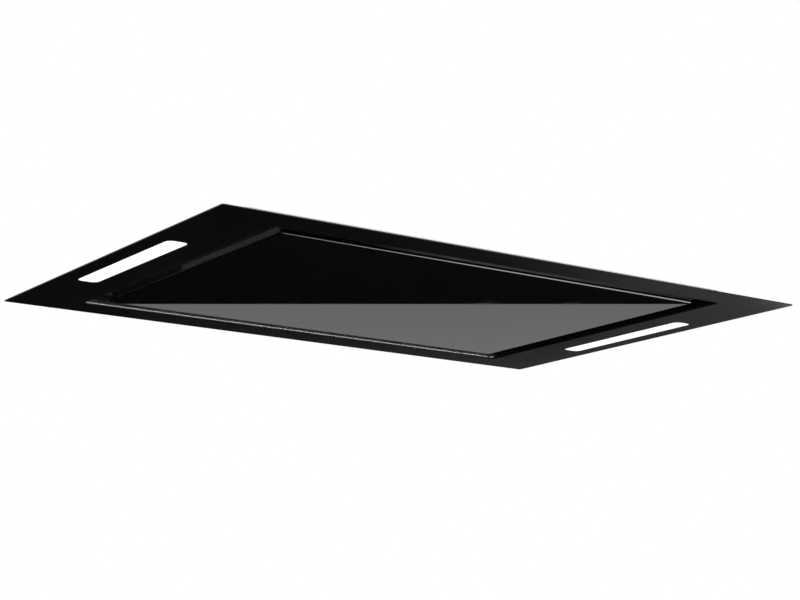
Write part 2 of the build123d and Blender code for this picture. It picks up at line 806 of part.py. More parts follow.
spring_z = (latch_top + latch_bottom) / 2
spring_length = guide_stop - latch_end - 2 * (spring_wire + spring_end_gap)
with BuildPart() as latch_springs:
    for direction in ENDS:
        start = (direction * (latch_end + spring_wire + spring_end_gap), 0, spring_z)
        with BuildLine() as coil:
            Helix(
                spring_length / spring_turns, spring_length, spring_radius,
                center=start, direction=(direction, 0, 0),
            )
        with BuildSketch(Plane(origin=coil.line @ 0, z_dir=coil.line % 0)):
            Circle(spring_wire)
        sweep(path=coil.line, is_frenet=True)
latch_springs.part.label = "latch_springs"
export_step(latch_springs.part, "parts/latch_springs.step")

# Glass panel with its tape and carrier tray
with BuildPart() as glass_panel:
    with BuildSketch(Plane.XY.offset(glass_lift)):
        RectangleRounded(glass_length, glass_width, glass_corner)
    extrude(amount=glass_thickness)
    flat_faces = glass_panel.faces().filter_by(Axis.Z)
    fillet(flat_faces.edges(), glass_edge_rounding)
glass_panel.part.label = "glass_panel"
export_step(glass_panel.part, "parts/glass_panel.step")

with BuildPart() as panel_tape:
    with BuildSketch(Plane.XY.offset(glass_top)):
        Rectangle(glass_length - 2 * tape_inset, glass_width - 2 * tape_inset)
        Rectangle(
            glass_length - 2 * tape_inset - 2 * tape_width,
            glass_width - 2 * tape_inset - 2 * tape_width,
            mode=Mode.SUBTRACT,
        )
    extrude(amount=tape_thickness)
panel_tape.part.label = "panel_tape"
export_step(panel_tape.part, "parts/panel_tape.step")

notch_length = knuckle_length + 2 * (hinge_side_gap + lug_thickness + notch_margin)
with BuildPart() as panel_carrier:
    with BuildSketch(Plane.XY.offset(carrier_bottom)):
        RectangleRounded(carrier_length, carrier_width, carrier_corner)
    extrude(amount=carrier_height)
    with BuildSketch(Plane.XY.offset(carrier_floor)):
        RectangleRounded(
            carrier_length - 2 * carrier_sheet,
            carrier_width - 2 * carrier_sheet,
            carrier_corner - carrier_sheet,
        )
        with Locations(*[(x, carrier_width / 2) for x in hinge_xs]):
            Rectangle(notch_length, notch_depth)
    extrude(amount=carrier_height, mode=Mode.SUBTRACT)
panel_carrier.part.label = "panel_carrier"
export_step(panel_carrier.part, "parts/panel_carrier.step")

# Hinges: a fixed leaf on the rear wall, a panel leaf with two lugs, and a pin
with BuildPart() as fixed_hinges:
    for x in hinge_xs:
        knuckle_plane = across_x(x - knuckle_length / 2, hinge_y, hinge_z)
        leaf_y = casing_inner_y - leaf_thickness / 2 - hinge_y
        with BuildSketch(knuckle_plane):
            Circle(knuckle_radius)
            with Locations((leaf_y, (hinge_leaf_top - hinge_z) / 2)):
                Rectangle(leaf_thickness, hinge_leaf_top - hinge_z)
            Circle(hinge_pin_radius + hinge_running_gap, mode=Mode.SUBTRACT)
        extrude(amount=knuckle_length)
    with BuildSketch(wall_plane(1)):
        with Locations(*seen_from(1, hinge_screws)):
            Circle(screw_radius)
    extrude(amount=-(casing_sheet + leaf_thickness), mode=Mode.SUBTRACT)
fixed_hinges.part.label = "fixed_hinges"
export_step(fixed_hinges.part, "parts/fixed_hinges.step")

panel_leaf_y = carrier_width / 2 - carrier_sheet - panel_leaf_wall_gap - panel_leaf_length / 2
lug_tail = (panel_leaf_y - hinge_y, carrier_floor + leaf_thickness + lug_rise - hinge_z)
with BuildPart() as panel_hinges:
    for x in hinge_xs:
        leaf_width = knuckle_length + 2 * (hinge_side_gap + lug_thickness + panel_leaf_margin)
        with BuildSketch(Plane.XY.offset(carrier_floor)):
            with Locations((x, panel_leaf_y)):
                Rectangle(leaf_width, panel_leaf_length)
        extrude(amount=leaf_thickness)
        for side in ENDS:
            lug_x = x + side * (knuckle_length / 2 + hinge_side_gap + lug_thickness / 2)
            with BuildSketch(across_x(lug_x, hinge_y, hinge_z)):
                Circle(knuckle_radius)
                with BuildLine():
                    Polyline(
                        (0, -knuckle_radius),
                        (0, knuckle_radius),
                        lug_tail,
                        (lug_tail[0], -knuckle_radius),
                        close=True,
                    )
                make_face()
                Circle(hinge_pin_radius, mode=Mode.SUBTRACT)
            extrude(amount=lug_thickness / 2, both=True)
panel_hinges.part.label = "panel_hinges"
export_step(panel_hinges.part, "parts/panel_hinges.step")

hinge_pin_length = knuckle_length + 2 * (hinge_side_gap + lug_thickness)
with BuildPart() as hinge_pins:
    for x in hinge_xs:
        with BuildSketch(across_x(x, hinge_y, hinge_z)):
            Circle(hinge_pin_radius)
        extrude(amount=hinge_pin_length / 2, both=True)
hinge_pins.part.label = "hinge_pins"
export_step(hinge_pins.part, "parts/hinge_pins.step")

# Magnetic catches: a holder on the front wall, its magnet, and a strike on the carrier
with BuildPart() as magnet_holders:
    with BuildSketch(Plane.XY.offset(holder_bottom)):
        with Locations(*[(x, -holder_y) for x in hinge_xs]):
            RectangleRounded(holder_length, holder_depth, magnet_inset)
    extrude(amount=holder_height)
    with BuildSketch(Plane.XY.offset(holder_bottom)):
        with Locations(*[(x, -magnet_y) for x in hinge_xs]):
            Rectangle(magnet_length + 2 * magnet_pocket_gap, magnet_depth + 2 * magnet_pocket_gap)
    extrude(amount=magnet_pocket, mode=Mode.SUBTRACT)
    with BuildSketch(wall_plane(-1)):
        with Locations(*seen_from(-1, holder_screws)):
            Circle(screw_radius)
    extrude(amount=-screw_length, mode=Mode.SUBTRACT)
magnet_holders.part.label = "magnet_holders"
export_step(magnet_holders.part, "parts/magnet_holders.step")

with BuildPart() as catch_magnets:
    with BuildSketch(Plane.XY.offset(magnet_bottom)):
        with Locations(*[(x, -magnet_y) for x in hinge_xs]):
            Rectangle(magnet_length, magnet_depth)
    extrude(amount=holder_bottom + magnet_pocket - magnet_bottom)
catch_magnets.part.label = "catch_magnets"
export_step(catch_magnets.part, "parts/catch_magnets.step")

with BuildPart() as strike_plates:
    with BuildSketch(Plane.XY.offset(carrier_floor)):
        with Locations(*[(x, -magnet_y) for x in hinge_xs]):
            Rectangle(strike_length, strike_depth)
    extrude(amount=strike_top - carrier_floor)
    with BuildSketch(Plane.XY.offset(carrier_floor)):
        with Locations(*[(x, -magnet_y) for x in hinge_xs]):
            Rectangle(strike_length, strike_depth - 2 * strike_sheet)
    extrude(amount=strike_top - strike_sheet - carrier_floor, mode=Mode.SUBTRACT)
strike_plates.part.label = "strike_plates"
export_step(strike_plates.part, "parts/strike_plates.step")

with BuildPart() as bump_stops:
    with BuildSketch(Plane.XY.offset(carrier_top + stop_gap)):
        with Locations(*[(side * stop_x, -stop_y) for side in ENDS]):
            Circle(stop_radius)
    extrude(amount=shelf_height - carrier_top - stop_gap)
bump_stops.part.label = "bump_stops"
export_step(bump_stops.part, "parts/bump_stops.step")


def scroll_air_space():
    """Face of the air space inside the scroll, seen along the axle, with its throat too long at the top."""
    throat_end = roof_bottom - axis_z + scroll_plate_margin
    tongue = sqrt(spiral_radius**2 - (throat_inner + spiral_shift) ** 2) - spiral_shift
    side_point = (-spiral_shift - spiral_radius, -spiral_shift)
    low_point = (spiral_shift, -spiral_shift - middle_radius)
    with BuildSketch(Plane.XY) as air_space:
        with BuildLine():
            Line((throat_outer, spiral_shift), (throat_outer, throat_end))
            Line((throat_outer, throat_end), (throat_inner, throat_end))
            Line((throat_inner, throat_end), (throat_inner, tongue))
            RadiusArc((throat_inner, tongue), side_point, -spiral_radius)
            RadiusArc(side_point, low_point, -middle_radius)
            RadiusArc(low_point, (throat_outer, spiral_shift), -last_radius)
        make_face()
    return air_space.sketch


throat_room = 2 * throat_depth
throat_cut = (0, roof_bottom - axis_z + throat_room / 2)

# Blower scroll: a wrap between two side plates that hang from the casing's top
with BuildPart() as scroll_wrap:
    with BuildSketch(AXLE):
        add(scroll_air_space())
        offset(amount=blower_sheet, kind=Kind.INTERSECTION)
        add(scroll_air_space(), mode=Mode.SUBTRACT)
        with Locations(throat_cut):
            Rectangle(2 * throat_room, throat_room, mode=Mode.SUBTRACT)
    extrude(amount=scroll_half, both=True)
scroll_wrap.part.label = "scroll_wrap"
export_step(scroll_wrap.part, "parts/scroll_wrap.step")

for side, direction in SIDES.items():
    with BuildPart() as scroll_side:
        with BuildSketch(AXLE.offset(direction * scroll_half)):
            add(scroll_air_space())
            offset(amount=scroll_plate_margin, kind=Kind.INTERSECTION)
            with Locations(throat_cut):
                Rectangle(2 * throat_room, throat_room, mode=Mode.SUBTRACT)
            Circle(inlet_radius, mode=Mode.SUBTRACT)
            if direction < 0:
                with Locations(*arm_ends):
                    Circle(screw_radius, mode=Mode.SUBTRACT)
        extrude(amount=direction * blower_sheet)
        with BuildSketch(Plane.XY.offset(roof_bottom - blower_sheet)):
            with Locations((direction * (scroll_half + scroll_flange / 2), 0)):
                Rectangle(scroll_flange, throat_depth)
            with Locations(*[(x, y) for x, y in blower_screws if x * direction > 0]):
                Circle(screw_radius, mode=Mode.SUBTRACT)
        extrude(amount=blower_sheet)
    scroll_side.part.label = f"scroll_side_{side}"
    export_step(scroll_side.part, f"parts/scroll_side_{side}.step")

with BuildPart() as inlet_rings:
    for direction in ENDS:
        plate_face = scroll_half + blower_sheet
        with BuildSketch(AXLE.offset(direction * plate_face)):
            Circle(inlet_radius + inlet_flange_width)
            Circle(inlet_radius - inlet_sheet, mode=Mode.SUBTRACT)
        extrude(amount=direction * inlet_flange_thickness)
        with BuildSketch(AXLE.offset(direction * plate_face)):
            Circle(inlet_radius)
            Circle(inlet_radius - inlet_sheet, mode=Mode.SUBTRACT)
        extrude(amount=-direction * inlet_depth)
inlet_rings.part.label = "inlet_rings"
export_step(inlet_rings.part, "parts/inlet_rings.step")

# Impeller: two rings of bowed blades on a middle disc, with a hub on the motor's shaft
blade_root = impeller_radius - blade_depth - blade_thickness
with BuildPart() as impeller:
    with BuildSketch(AXLE.offset(-impeller_half)):
        with BuildSketch(Plane.XY) as blade:
            with BuildLine():
                blade_line = ThreePointArc(
                    (blade_root, 0),
                    (blade_root + blade_depth / 2, blade_lead / 2 - blade_bow),
                    (blade_root + blade_depth, blade_lead),
                )
                offset(blade_line, amount=blade_thickness / 2)
            make_face()
        with PolarLocations(0, blade_count):
            add(blade.sketch)
    extrude(amount=impeller_length)
    with BuildSketch(AXLE):
        Circle(impeller_radius)
    extrude(amount=impeller_disc / 2, both=True)
    for direction in ENDS:
        with BuildSketch(AXLE.offset(direction * impeller_half)):
            Circle(impeller_radius)
            Circle(impeller_radius - end_ring_depth, mode=Mode.SUBTRACT)
        extrude(amount=-direction * end_ring_thickness)
    with BuildSketch(AXLE):
        Circle(hub_radius)
    extrude(amount=hub_length)
    with BuildSketch(AXLE.offset(-impeller_disc)):
        Circle(shaft_radius)
    extrude(amount=impeller_disc + hub_length, mode=Mode.SUBTRACT)
impeller.part.label = "impeller"
export_step(impeller.part, "parts/impeller.step")

# Motor: a can with a bearing in each end, its winding, and the turning shaft and rotor
cavity_rear = motor_rear + motor_end_wall
cavity_front = motor_front - motor_end_wall
seat_radius = bearing_radius + bearing_seat_wall
with BuildPart() as motor_housing:
    with BuildSketch(AXLE.offset(motor_rear)):
        Circle(motor_radius)
    extrude(amount=motor_length)
    with BuildSketch(AXLE.offset(cavity_rear)):
        Circle(motor_radius - motor_wall)
    extrude(amount=cavity_front - cavity_rear, mode=Mode.SUBTRACT)
    for level, direction in ((cavity_rear, 1), (cavity_front, -1)):
        with BuildSketch(AXLE.offset(level)):
            Circle(seat_radius)
            Circle(bearing_radius, mode=Mode.SUBTRACT)
        extrude(amount=direction * bearing_width)
    with BuildSketch(AXLE.offset(cavity_front)):
        Circle(shaft_radius + shaft_hole_gap)
    extrude(amount=motor_end_wall, mode=Mode.SUBTRACT)
motor_housing.part.label = "motor_housing"
export_step(motor_housing.part, "parts/motor_housing.step")

with BuildPart() as motor_bearings:
    for level in (cavity_rear, cavity_front - bearing_width):
        with BuildSketch(AXLE.offset(level)):
            Circle(bearing_radius)
            Circle(shaft_radius + bearing_running_gap, mode=Mode.SUBTRACT)
        extrude(amount=bearing_width)
motor_bearings.part.label = "motor_bearings"
export_step(motor_bearings.part, "parts/motor_bearings.step")

winding_start = cavity_rear + bearing_width + winding_gap
winding_length = cavity_front - bearing_width - winding_gap - winding_start
with BuildPart() as motor_stator:
    with BuildSketch(AXLE.offset(winding_start)):
        Circle(motor_radius - motor_wall)
        Circle(winding_inner_radius, mode=Mode.SUBTRACT)
    extrude(amount=winding_length)
motor_stator.part.label = "motor_stator"
export_step(motor_stator.part, "parts/motor_stator.step")

with BuildPart() as motor_rotor:
    with BuildSketch(AXLE.offset(winding_start)):
        Circle(winding_inner_radius - rotor_air_gap)
        Circle(shaft_radius, mode=Mode.SUBTRACT)
    extrude(amount=winding_length)
motor_rotor.part.label = "motor_rotor"
export_step(motor_rotor.part, "parts/motor_rotor.step")

with BuildPart() as motor_shaft:
    with BuildSketch(AXLE.offset(cavity_rear + shaft_end_gap)):
        Circle(shaft_radius)
    extrude(amount=hub_length + shaft_overhang - cavity_rear - shaft_end_gap)
motor_shaft.part.label = "motor_shaft"
export_step(motor_shaft.part, "parts/motor_shaft.step")

# Motor bracket: three arms over the left inlet, on rubber mounts
arm_level = -scroll_half - blower_sheet - mount_height
with BuildPart() as motor_bracket:
    with BuildSketch(AXLE.offset(arm_level)):
        Circle(bracket_hub_radius)
        for angle in arm_angles:
            with PolarLocations(arm_radius / 2, 1, start_angle=angle):
                Rectangle(arm_radius, arm_width)
        with Locations(*arm_ends):
            Circle(arm_end_radius)
            Circle(screw_radius, mode=Mode.SUBTRACT)
    extrude(amount=-arm_thickness)
    with BuildSketch(AXLE.offset(arm_level)):
        Circle(bracket_hub_radius)
    extrude(amount=motor_rear - arm_level)
motor_bracket.part.label = "motor_bracket"
export_step(motor_bracket.part, "parts/motor_bracket.step")

with BuildPart() as motor_mounts:
    with BuildSketch(AXLE.offset(arm_level)):
        with Locations(*arm_ends):
            Circle(mount_radius)
            Circle(screw_radius, mode=Mode.SUBTRACT)
    extrude(amount=mount_height)
motor_mounts.part.label = "motor_mounts"
export_step(motor_mounts.part, "parts/motor_mounts.step")

# Duct collar, with a seat for the flaps and a pin across it
seat_top = flap_bottom - flap_gap
with BuildPart() as outlet_collar:
    with BuildSketch(Plane.XY.offset(casing_height)):
        Circle(collar_flange_radius)
        with Locations(*collar_screws):
            Circle(screw_radius, mode=Mode.SUBTRACT)
    extrude(amount=collar_flange_thickness)
    with BuildSketch(Plane.XY.offset(casing_height)):
        Circle(collar_radius)
    extrude(amount=collar_height)
    with BuildSketch(Plane.XY.offset(casing_height)):
        Circle(collar_inner_radius)
    extrude(amount=collar_height, mode=Mode.SUBTRACT)
    with BuildSketch(Plane.XY.offset(seat_top)):
        Circle(collar_inner_radius)
        Circle(collar_inner_radius - flap_seat_width, mode=Mode.SUBTRACT)
    extrude(amount=-flap_seat_height)
    with BuildSketch(across_x(0, 0, flap_axis_z)):
        Circle(flap_pin_radius)
    extrude(amount=collar_radius, both=True, mode=Mode.SUBTRACT)
outlet_collar.part.label = "outlet_collar"
export_step(outlet_collar.part, "parts/outlet_collar.step")

pin_half_length = sqrt(collar_radius**2 - flap_pin_radius**2)
with BuildPart() as flap_pin:
    with BuildSketch(across_x(0, 0, flap_axis_z)):
        Circle(flap_pin_radius)
    extrude(amount=pin_half_length, both=True)
flap_pin.part.label = "flap_pin"
export_step(flap_pin.part, "parts/flap_pin.step")

flap_edge = flap_knuckle_radius + flap_edge_gap
for node, direction in (("flap_front", -1), ("flap_rear", 1)):
    knuckle_xs = [
        direction * flap_knuckle_spread / 2 + place for place in spread(2, 2 * flap_knuckle_spread)
    ]
    with BuildPart() as flap:
        with BuildSketch(Plane.XY.offset(flap_bottom)):
            Circle(flap_radius)
            with Locations((0, direction * (flap_edge - flap_radius))):
                Rectangle(2 * flap_radius, 2 * flap_radius, mode=Mode.SUBTRACT)
            with Locations(*[(x, direction * flap_edge / 2) for x in knuckle_xs]):
                Rectangle(flap_knuckle_length, flap_edge)
        extrude(amount=flap_thickness)
        for x in knuckle_xs:
            with BuildSketch(across_x(x, 0, flap_axis_z)):
                Circle(flap_knuckle_radius)
            extrude(amount=flap_knuckle_length / 2, both=True)
        with BuildSketch(across_x(0, 0, flap_axis_z)):
            Circle(flap_pin_radius + flap_pin_gap)
        extrude(amount=flap_radius, both=True, mode=Mode.SUBTRACT)
    flap.part.label = node
    export_step(flap.part, f"parts/{node}.step")

# Control box with its lid, board, terminals and cable gland
with BuildPart() as control_box:
    with BuildSketch(Plane.XY.offset(casing_height)):
        with Locations((box_x, 0)):
            RectangleRounded(box_length, box_width, box_corner)
    extrude(amount=box_height)
    with BuildSketch(Plane.XY.offset(box_floor)):
        with Locations((box_x, 0)):
            RectangleRounded(box_length - 2 * box_wall, box_width - 2 * box_wall, box_corner - box_wall)
    extrude(amount=box_height, mode=Mode.SUBTRACT)
    with BuildSketch(Plane.XY.offset(box_floor)):
        with Locations(*lid_screws):
            Circle(boss_radius)
    extrude(amount=box_rim - box_floor)
    with BuildSketch(Plane.XY.offset(box_rim)):
        with Locations(*lid_screws):
            Circle(screw_radius)
    extrude(amount=-screw_length, mode=Mode.SUBTRACT)
    with BuildSketch(Plane.XY.offset(casing_height)):
        with Locations(*box_screws):
            Circle(screw_radius)
    extrude(amount=box_wall, mode=Mode.SUBTRACT)
    post_places = [
        (
            board_x + side * (control_board_length / 2 - post_inset),
            end * (control_board_width / 2 - post_inset),
        )
        for side in ENDS
        for end in ENDS
    ]
    with BuildSketch(Plane.XY.offset(box_floor)):
        with Locations(*post_places):
            Circle(post_radius)
    extrude(amount=post_height)
    with BuildSketch(Plane.XY.offset(board_bottom)):
        with Locations(*post_places):
            Circle(post_pin_radius)
    extrude(amount=board_thickness)
    with BuildSketch(across_x(box_x - box_length / 2, 0, gland_z)):
        Circle(gland_thread_radius)
    extrude(amount=box_wall, mode=Mode.SUBTRACT)
control_box.part.label = "control_box"
export_step(control_box.part, "parts/control_box.step")

with BuildPart() as control_lid:
    with BuildSketch(Plane.XY.offset(box_rim)):
        with Locations((box_x, 0)):
            RectangleRounded(box_length, box_width, box_corner)
    extrude(amount=lid_thickness)
    lip_inset = 2 * (box_wall + boss_inset + boss_radius)
    with BuildSketch(Plane.XY.offset(box_rim)):
        with Locations((box_x, 0)):
            Rectangle(box_length - lip_inset, box_width - 2 * (box_wall + lid_lip_gap))
            Rectangle(box_length - lip_inset - 2 * box_wall, box_width - 4 * box_wall, mode=Mode.SUBTRACT)
    extrude(amount=-lid_lip)
    with BuildSketch(Plane.XY.offset(box_rim)):
        with Locations(*lid_screws):
            Circle(screw_radius)
    extrude(amount=lid_thickness, mode=Mode.SUBTRACT)
control_lid.part.label = "control_lid"
export_step(control_lid.part, "parts/control_lid.step")

with BuildPart() as circuit_board:
    with BuildSketch(Plane.XY.offset(board_bottom)):
        with Locations((board_x, 0)):
            Rectangle(control_board_length, control_board_width)
        with Locations(*post_places):
            Circle(post_pin_radius, mode=Mode.SUBTRACT)
    extrude(amount=board_thickness)
circuit_board.part.label = "circuit_board"
export_step(circuit_board.part, "parts/circuit_board.step")

with BuildPart() as led_driver:
    with BuildSketch(Plane.XY.offset(board_top)):
        with Locations((board_x, driver_offset)):
            RectangleRounded(driver_length, driver_width, box_wall)
    extrude(amount=driver_height)
led_driver.part.label = "led_driver"
export_step(led_driver.part, "parts/led_driver.step")

with BuildPart() as motor_capacitor:
    capacitor_origin = (board_x - capacitor_length / 2, -capacitor_offset, board_top + capacitor_radius)
    with BuildSketch(across_x(*capacitor_origin)):
        Circle(capacitor_radius)
    extrude(amount=capacitor_length)
motor_capacitor.part.label = "motor_capacitor"
export_step(motor_capacitor.part, "parts/motor_capacitor.step")

with BuildPart() as terminal_block:
    with BuildSketch(Plane.XY.offset(box_floor)):
        with Locations((terminal_x, 0)):
            Rectangle(terminal_length, terminal_width)
    extrude(amount=terminal_height)
    with BuildSketch(Plane.XY.offset(box_floor + terminal_height)):
        with Locations(*[(terminal_x, y) for y in spread(terminal_count, terminal_pitch)]):
            Circle(terminal_hole_radius)
    extrude(amount=-terminal_height / 2, mode=Mode.SUBTRACT)
terminal_block.part.label = "terminal_block"
export_step(terminal_block.part, "parts/terminal_block.step")

gland_plane = Plane(origin=(box_x - box_length / 2, 0, gland_z), x_dir=(0, 1, 0), z_dir=(-1, 0, 0))
with BuildPart() as cable_gland:
    with BuildSketch(gland_plane):
        RegularPolygon(gland_flange_radius, 6)
    extrude(amount=gland_body_length)
    with BuildSketch(gland_plane.offset(gland_body_length)):
        Circle(gland_cap_radius)
    extrude(amount=gland_cap_length, taper=gland_cap_taper)
    with BuildSketch(gland_plane):
        Circle(gland_thread_radius)
    extrude(amount=-box_wall)
    with BuildSketch(gland_plane.offset(-box_wall)):
        RegularPolygon(gland_flange_radius, 6)
    extrude(amount=-gland_nut_length)
    with BuildSketch(gland_plane.offset(gland_body_length + gland_cap_length)):
        Circle(gland_bore)
    extrude(
        amount=-(gland_body_length + gland_cap_length + box_wall + gland_nut_length), mode=Mode.SUBTRACT
    )
cable_gland.part.label = "cable_gland"
export_step(cable_gland.part, "parts/cable_gland.step")

# Hanger brackets and their screws
with BuildPart() as hanger_brackets:
    for direction in ENDS:
        inner_x = casing_length / 2
        outer_x = hanger_x + hanger_margin
        for y in (-hanger_y, hanger_y):
            with BuildSketch(Plane.XY.offset(hanger_top)):
                with Locations((direction * (inner_x + outer_x) / 2, y)):
                    Rectangle(outer_x - inner_x, hanger_width)
                with Locations((direction * hanger_x, y)):
                    Circle(hanger_hole_radius, mode=Mode.SUBTRACT)
            extrude(amount=-hanger_sheet)
            with BuildSketch(Plane.XY.offset(hanger_top)):
                with Locations((direction * (inner_x + hanger_sheet / 2), y)):
                    Rectangle(hanger_sheet, hanger_width)
            extrude(amount=-hanger_drop)
        with BuildSketch(across_x(direction * inner_x)):
            with Locations(*hanger_screws):
                Circle(hanger_screw_radius)
        extrude(amount=direction * hanger_sheet, mode=Mode.SUBTRACT)
hanger_brackets.part.label = "hanger_brackets"
export_step(hanger_brackets.part, "parts/hanger_brackets.step")

with BuildPart() as hanger_bolts:
    for direction in ENDS:
        seat_x = casing_length / 2 + hanger_sheet
        with BuildSketch(across_x(direction * seat_x)):
            with Locations(*hanger_screws):
                Circle(hanger_screw_radius)
        extrude(amount=-direction * hanger_screw_length)
        with BuildSketch(across_x(direction * seat_x)):
            with Locations(*hanger_screws):
                RegularPolygon(hanger_screw_head_radius, 6, major_radius=False)
        extrude(amount=direction * hanger_screw_head_height)
hanger_bolts.part.label = "hanger_screws"
export_step(hanger_bolts.part, "parts/hanger_screws.step")


bracket_face = Plane(
    origin=(arm_level - arm_thickness, axis_y, axis_z), x_dir=(0, 1, 0), z_dir=(-1, 0, 0)
)
screw_seats = [
    (Plane.XY.offset(casing_height), head_screws + blower_screws),
    (Plane.XY.offset(casing_height + collar_flange_thickness), collar_screws),
    (Plane.XY.offset(box_floor), box_screws),
    (Plane.XY.offset(box_rim + lid_thickness), lid_screws),
    (wall_plane(-1), seen_from(-1, wall_screws + holder_screws)),
    (wall_plane(1), seen_from(1, wall_screws + hinge_screws)),
    (bracket_face, [(y, -z) for y, z in arm_ends]),
]

# Small screws: a domed head on its seat and a shank behind it
with BuildPart() as m4_screws:
    for seat, places in screw_seats:
        with BuildSketch(seat):
            with Locations(*places):
                Circle(screw_radius)
        extrude(amount=-screw_length)
        with BuildSketch(seat):
            with Locations(*places):
                Circle(screw_head_radius)
        extrude(amount=screw_head_height, taper=screw_head_taper)
m4_screws.part.label = "m4_screws"
export_step(m4_screws.part, "parts/m4_screws.step")
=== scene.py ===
"""Looks of the ceiling range hood: materials, finer pieces, camera, light and backdrop."""

from math import atan, cos, hypot, inf, pi, radians, sin, tau

import bmesh
import bpy
from mathutils import Matrix, Vector


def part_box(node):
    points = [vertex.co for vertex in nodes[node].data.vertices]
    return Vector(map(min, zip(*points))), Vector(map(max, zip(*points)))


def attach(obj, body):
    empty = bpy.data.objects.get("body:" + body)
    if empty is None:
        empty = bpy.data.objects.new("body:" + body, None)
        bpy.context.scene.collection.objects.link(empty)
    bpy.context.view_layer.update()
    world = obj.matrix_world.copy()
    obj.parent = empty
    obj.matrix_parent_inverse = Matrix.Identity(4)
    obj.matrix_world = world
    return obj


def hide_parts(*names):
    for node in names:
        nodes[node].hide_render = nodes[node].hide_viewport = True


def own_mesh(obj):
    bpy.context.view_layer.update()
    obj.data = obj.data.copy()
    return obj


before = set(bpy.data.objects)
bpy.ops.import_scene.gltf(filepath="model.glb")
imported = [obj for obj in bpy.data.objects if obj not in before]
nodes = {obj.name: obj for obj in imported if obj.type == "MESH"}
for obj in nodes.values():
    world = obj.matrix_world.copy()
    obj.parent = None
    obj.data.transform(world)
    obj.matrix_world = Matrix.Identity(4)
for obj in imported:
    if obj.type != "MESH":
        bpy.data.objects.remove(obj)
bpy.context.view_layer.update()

MM = 0.001
UP = Vector((0, 0, 1))


def add_node(tree, kind, **inputs):
    """A shader node whose inputs are set to values or linked to other nodes."""
    made = tree.nodes.new(kind)
    for key, value in inputs.items():
        socket = made.inputs[key.replace("_", " ")]
        if isinstance(value, bpy.types.NodeSocket):
            tree.links.new(value, socket)
        else:
            socket.default_value = value
    return made


def grey(level):
    """A colour without a hue."""
    return (level, level, level)


def scaled(colour, factor):
    """A colour made lighter or darker."""
    return tuple(min(1.0, part * factor) for part in colour)


class Look:
    """A material in the making: one shader, and short ways to make the nodes that feed it."""

    # Smooth noise mostly stays between these two values
    usual_low = 0.3
    usual_high = 0.7

    # Phase of a wave, in radians for each metre, at a scale of 1
    wave_rate = 20

    def __init__(self, name, **settings):
        self.material = bpy.data.materials.new(name)
        self.material.use_nodes = True
        self.tree = self.material.node_tree
        self.shader = self.tree.nodes["Principled BSDF"]
        self.place = self.node("ShaderNodeTexCoord").outputs["Object"]
        for setting, value in settings.items():
            self.shader.inputs[setting.replace("_", " ")].default_value = value

    def node(self, kind, **inputs):
        """A node of this material."""
        return add_node(self.tree, kind, **inputs)

    def feed(self, setting, value):
        """Lets a node drive one setting of the shader."""
        self.tree.links.new(value, self.shader.inputs[setting])

    def stretched(self, scale):
        """The place on the object, with each axis scaled."""
        return self.node("ShaderNodeMapping", Vector=self.place, Scale=scale).outputs["Vector"]

    def noise(self, size, detail=2.0, scale=(1, 1, 1)):
        """Smooth noise from 0 to 1, whose spots are about size metres across."""
        place = self.stretched(scale)
        made = self.node("ShaderNodeTexNoise", Vector=place, Scale=1 / size, Detail=detail)
        return made.outputs["Fac"]

    def cells(self, size, scale=(1, 1, 1)):
        """One random value from 0 to 1 for each crystal, about size metres across."""
        made = self.node("ShaderNodeTexVoronoi", Vector=self.stretched(scale), Scale=1 / size)
        return self.node("ShaderNodeSeparateColor", Color=made.outputs["Color"]).outputs["Red"]

    def waves(self, size, axis, distortion=0.0):
        """Parallel ridges from 0 to 1 across one axis, size metres apart."""
        scale = tau / self.wave_rate / size
        made = self.node("ShaderNodeTexWave", Vector=self.place, Scale=scale, Distortion=distortion)
        made.bands_direction = axis
        return made.outputs["Fac"]

    def total(self, first, second):
        """The sum of two values."""
        made = self.node("ShaderNodeMath", Value=first)
        self.tree.links.new(second, made.inputs[1])
        return made.outputs["Value"]

    def between(self, value, low, high, start=0.0, end=1.0):
        """Maps a value from its own span to another one."""
        span = {"From_Min": start, "From_Max": end, "To_Min": low, "To_Max": high}
        return self.node("ShaderNodeMapRange", Value=value, **span).outputs["Result"]

    def blend(self, value, first, second, start=0.0, end=1.0):
        """A colour that goes from the first to the second as a value goes over its span."""
        made = self.node("ShaderNodeValToRGB", Fac=value)
        stops = made.color_ramp.elements
        stops[0].position, stops[1].position = start, end
        stops[0].color, stops[1].color = (*first, 1), (*second, 1)
        return made.outputs["Color"]

    def mottle(self, spots, colour, darkest, lightest):
        """Lets the base colour drift between a darker and a lighter shade of one colour."""
        self.feed("Base Color", self.blend(spots, scaled(colour, darkest), scaled(colour, lightest)))

    def roughen(self, spots, low, high):
        """Lets the roughness drift from low to high, over the usual span of noise."""
        self.feed("Roughness", self.between(spots, low, high, self.usual_low, self.usual_high))

    def bump(self, height, depth):
        """Raises the surface by a height of 0 to 1 times a depth in metres, on top of earlier bumps."""
        made = self.node("ShaderNodeBump", Height=height, Distance=depth)
        earlier = self.shader.inputs["Normal"].links
        if earlier:
            self.tree.links.new(earlier[0].from_socket, made.inputs["Normal"])
        self.feed("Normal", made.outputs["Normal"])


def painted(name, colour, roughness):
    """Powder coat: fine orange peel, slightly uneven gloss and a trace of dust."""
    look = Look(name)
    look.mottle(look.noise(60 * MM, detail=4), colour, 0.85, 1.15)
    look.roughen(look.noise(35 * MM, detail=5), roughness - 0.04, roughness + 0.05)
    look.bump(look.noise(1.2 * MM), depth=0.004 * MM)
    return look


def moulded(name, colour, roughness, grain=0.5 * MM, depth=0.01 * MM):
    """Moulded plastic with a fine spark-eroded grain."""
    look = Look(name)
    look.mottle(look.noise(25 * MM, detail=4), colour, 0.9, 1.1)
    look.roughen(look.noise(8 * MM, detail=4), roughness - 0.05, roughness + 0.07)
    look.bump(look.noise(grain, detail=3), depth)
    return look


